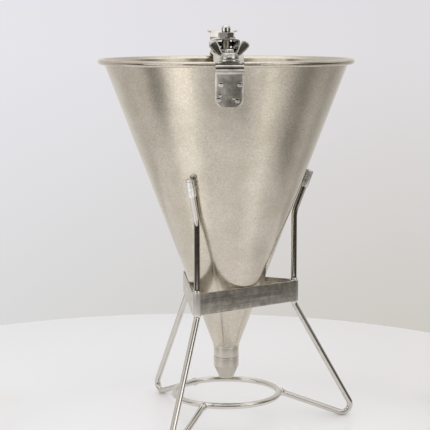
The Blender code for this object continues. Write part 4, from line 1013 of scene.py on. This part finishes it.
def build_strap():
    """Strap across the mouth: clamped at the front, hooked round the rolled rim at the back."""
    middle = BRIDGE_SHEET / 2
    clamp = CLAMP_BOTTOM + middle
    level = BRIDGE_TOP - middle
    bead = Vector((RIM_RADIUS - BEAD_RADIUS, BEAD_HEIGHT))
    hook_radius = BEAD_RADIUS + GAP + middle
    drop = (BRIDGE_DROP, level)
    away = Vector(drop) - bead
    hook_start = atan2(away.y, away.x) - acos(hook_radius / away.length)
    hook = arc(bead, hook_radius, hook_start, HOOK_END, 18)
    end, rise, top = BRIDGE_FRONT
    path = rounded([(end, clamp), (rise, clamp), (top, level), drop, hook[0]], [BRIDGE_BEND] * 3)
    path, widths = round_ended(path[:-1] + hook, BRIDGE_HALF, BRIDGE_BEND, False)
    strap = swept(path, [sheet_loop(strip_line(half), BRIDGE_SHEET) for half in widths])
    finish_piece("mouth_strap", strap, "sheet", "funnel", "bridge_strap", slot="satin_steel")


def channel_line(depth):
    """Middle line of the lever's section: a flange up, over the crowned web, and down again."""
    half = LEVER_HALF - LEVER_SHEET / 2
    corner = 0.0009
    flat = half - corner
    web = -LEVER_SHEET / 2
    low = web - LEVER_CROWN - corner
    left = [(-half, LEVER_SHEET / 2 - depth), (-half, low)]
    left += [(-flat - corner * cos(a), low + corner * sin(a)) for a in (pi / 8 * i for i in (1, 2, 3))]
    return left + strip_line(flat, LEVER_CROWN, web, 7) + [(-x, z) for x, z in reversed(left)]


def flange_depth(y):
    """Depth of the lever's flanges: a round front corner, then down to the strap, then rounded off behind."""
    run = min(y - LEVER_FRONT, LEVER_NOSE)
    behind = y - PIVOT_Y
    if behind <= 0:
        full = LEVER_TOP - BRIDGE_TOP - GAP
        return full - LEVER_NOSE + sqrt(LEVER_NOSE ** 2 - (LEVER_NOSE - run) ** 2)
    heel_end = HEEL_RADIUS * sin(HEEL_TURN)
    depth = LEVER_TOP - PIVOT_Z + sqrt(HEEL_RADIUS ** 2 - min(behind, heel_end) ** 2)
    share = max(0.0, behind - heel_end) / (LEVER_BACK - PIVOT_Y - heel_end)
    return depth + (FLANGE_END - depth) * share


def lever_tail():
    """Sheet that goes on from the web, turns up behind the hinge and ends in the thumb pad."""
    middle = LEVER_SHEET / 2
    web = LEVER_TOP - middle - 0.0001
    pad = PAD_TOP - middle
    level = TAIL_TURN + TAIL_RUN
    corners = [(LEVER_BACK - 0.0080, web), (TAIL_TURN, web), (level, pad), (PAD_BACK - 0.0035, pad),
               (PAD_BACK, pad - 0.0016)]
    path = rounded(corners, [0.0020, 0.0016, 0.0030])
    flat = [point for point in path if point[0] > level]
    path = path[:path.index(flat[0])] + spaced(flat, 0.0008)
    sections = []
    for y, z in path:
        half = LEVER_HALF - GAP
        rise = (z - web) / (pad - web)
        share = min(1.0, max(0.0, (rise - 0.45) / 0.45))
        half += (TAIL_NECK - half) * share * share * (3 - 2 * share)
        if y > PAD_FRONT:
            half += (PAD_HALF - half) * sqrt(min(1.0, (y - PAD_FRONT) / 0.0012))
        if y > PAD_BACK - PAD_CORNER:
            near = min(1.0, (y - PAD_BACK + PAD_CORNER) / PAD_CORNER)
            half = PAD_HALF - PAD_CORNER * (1 - sqrt(max(0.0, 1 - near ** 2)))
        sections.append(sheet_loop(strip_line(half, LEVER_CROWN if y < TAIL_TURN else 0.0003), LEVER_SHEET))
    return swept(path, sections)


def build_lever_piece():
    """Channel lever with the slot for the rod, and its tail."""
    stations = [LEVER_FRONT + LEVER_NOSE * (1 - cos(pi / 20 * i)) for i in range(11)]
    stations += [0.0200, 0.0500, PIVOT_Y]
    stations += [PIVOT_Y + HEEL_RADIUS * sin(HEEL_TURN * i / 8) for i in range(1, 9)] + [LEVER_BACK]
    sections = [sheet_loop(channel_line(flange_depth(y)), LEVER_SHEET) for y in stations]
    channel = swept([(y, LEVER_TOP) for y in stations], sections)
    slot = arc((0, LEVER_SLOT), SCREW_BORE, 0, pi, 16)
    slot += arc((0, -LEVER_SLOT), SCREW_BORE, pi, tau, 16)
    cutter = prism(slot, LEVER_TOP - 0.005, LEVER_TOP + 0.005)
    shape = joined(carved(channel, cutter), lever_tail())
    finish_piece("channel_lever", shape, "sheet", "lever_body", "lever")


def build_guide_pieces():
    """Bush that guides the rod through the strap, and the nut that holds it from above."""
    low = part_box("guide_bush")[0].z
    seat = BRIDGE_TOP - BRIDGE_SHEET - GAP
    flange = seat - BUSH_FLANGE_SHEET
    top = BRIDGE_TOP + BUSH_NUT_HEIGHT
    bush = softened([(ROD_GUIDE, low), (BUSH_RADIUS, low), (BUSH_RADIUS, flange), (BUSH_FLANGE, flange),
                     (BUSH_FLANGE, seat), (BUSH_RADIUS, seat), (BUSH_RADIUS, top), (ROD_GUIDE, top)])
    finish_piece("rod_bush", turned(bush, 72), "turned", "funnel", "guide_bush", slot="satin_steel")
    nut = hex_nut(BUSH_NUT_FLATS, BRIDGE_TOP + GAP, top + GAP, BUSH_RADIUS + GAP, pi / 6)
    finish_piece("bush_lock_nut", nut, "bright", "funnel", "bush_nut")


def build_plunger_pieces():
    """Rod with its round end, the nut that the lever lifts, and the valve plug with its nut."""
    low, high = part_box("plunger_rod")
    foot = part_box("lift_nut")[1].z + GAP
    rod = dome(ROD_CAP, ROD_DOME, high.z, 12)
    rod += [(ROD_CAP, foot + 0.0004), (ROD_CAP - 0.0004, foot), (SCREW_RADIUS, foot),
            (SCREW_RADIUS, low.z + ROD_CHAMFER), (SCREW_RADIUS - ROD_CHAMFER, low.z), (0, low.z)]
    finish_piece("lift_rod", turned(rod, 64, False), "bright", "plunger", "plunger_rod")
    for name, node, turn in (("rod_nut", "lift_nut", 9), ("plug_lock_nut", "plug_nut", 0)):
        low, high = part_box(node)
        nut = hex_nut(NUT_FLATS, low.z, high.z, SCREW_RADIUS + GAP, radians(turn))
        finish_piece(name, nut, "plated", "plunger", node)
    low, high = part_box("spring_collar")
    collar = softened(rectangle(ROD_GUIDE, SPRING_SEAT_RADIUS, low.z, high.z), 0.0005)
    finish_piece("spring_seat", turned(collar, 72), "turned", "plunger", "spring_collar")
    low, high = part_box("valve_plug")
    wide = (high - low).x / 2
    side = low.z + PLUG_CHAMFER
    plug = [(ROD_GUIDE, low.z), (cone_radius(low.z) - PLUG_CLEAR - PLUG_CHAMFER, low.z),
            (cone_radius(side) - PLUG_CLEAR, side), (wide, high.z - 0.0035), (wide - 0.0018, high.z - 0.0015),
            (0.0072, high.z), (ROD_GUIDE, high.z)]
    plug = turned(softened(plug, 0.0008, 4))
    finish_piece("seat_plug", plug, "turned", "plunger", "valve_plug", slot="satin_steel")


def build_spring_piece():
    """Compression spring with closed ends, from the bush down to the collar."""
    closed_rise = SPRING_WIRE * 1.05
    open_turns = SPRING_TURNS - 2 * SPRING_CLOSED
    open_rise = (SPRING_LENGTH - SPRING_WIRE - 2 * SPRING_CLOSED * closed_rise) / open_turns
    points = []
    for turn in (i / 28 for i in range(SPRING_TURNS * 28 + 1)):
        opened = min(max(turn - SPRING_CLOSED, 0.0), open_turns)
        height = SPRING_TOP - SPRING_WIRE / 2 - (turn - opened) * closed_rise - opened * open_rise
        angle = tau * turn
        points.append(Vector((SPRING_RADIUS * cos(angle), SPRING_RADIUS * sin(angle), height)))
    coil = tube(points, [SPRING_WIRE / 2] * len(points), 12)
    spring = finish_piece("coil_spring", coil, "bright", "funnel", "return_spring")
    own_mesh(spring)


def build_handle_strap():
    """D-shaped strap handle, its two feet welded flat on the back of the cone."""
    middle = HANDLE_SHEET / 2
    clear = GAP + middle
    high, low = HANDLE_HIGH[1], HANDLE_LOW[1]
    corners = [wall_point(high - HANDLE_FOOT, clear), wall_point(high, clear), HANDLE_HIGH, HANDLE_LOW,
               wall_point(low, clear), wall_point(low - HANDLE_FOOT, clear)]
    path, widths = round_ended(rounded(corners, HANDLE_BENDS, 14), HANDLE_HALF, HANDLE_CORNER)
    sections = []
    for point, half in zip(path, widths):
        way = -1 if point[1] > (high + low) / 2 else 1
        sections.append(sheet_loop(strip_line(half, way * wall_crown(point, half, middle)), HANDLE_SHEET))
    finish_piece("strap_handle", swept(path, sections), "sheet", "funnel", "handle")


scene.view_settings.view_transform = 'Standard'
build_world()
build_table()
build_lights()
build_camera()
dress_nodes()
for build in (build_cone_shell, build_outlet_fittings, build_stand_pieces, build_front_bracket, build_clamp_pieces,
              build_strap, build_lever_piece, build_guide_pieces, build_plunger_pieces, build_spring_piece,
              build_handle_strap):
    build()
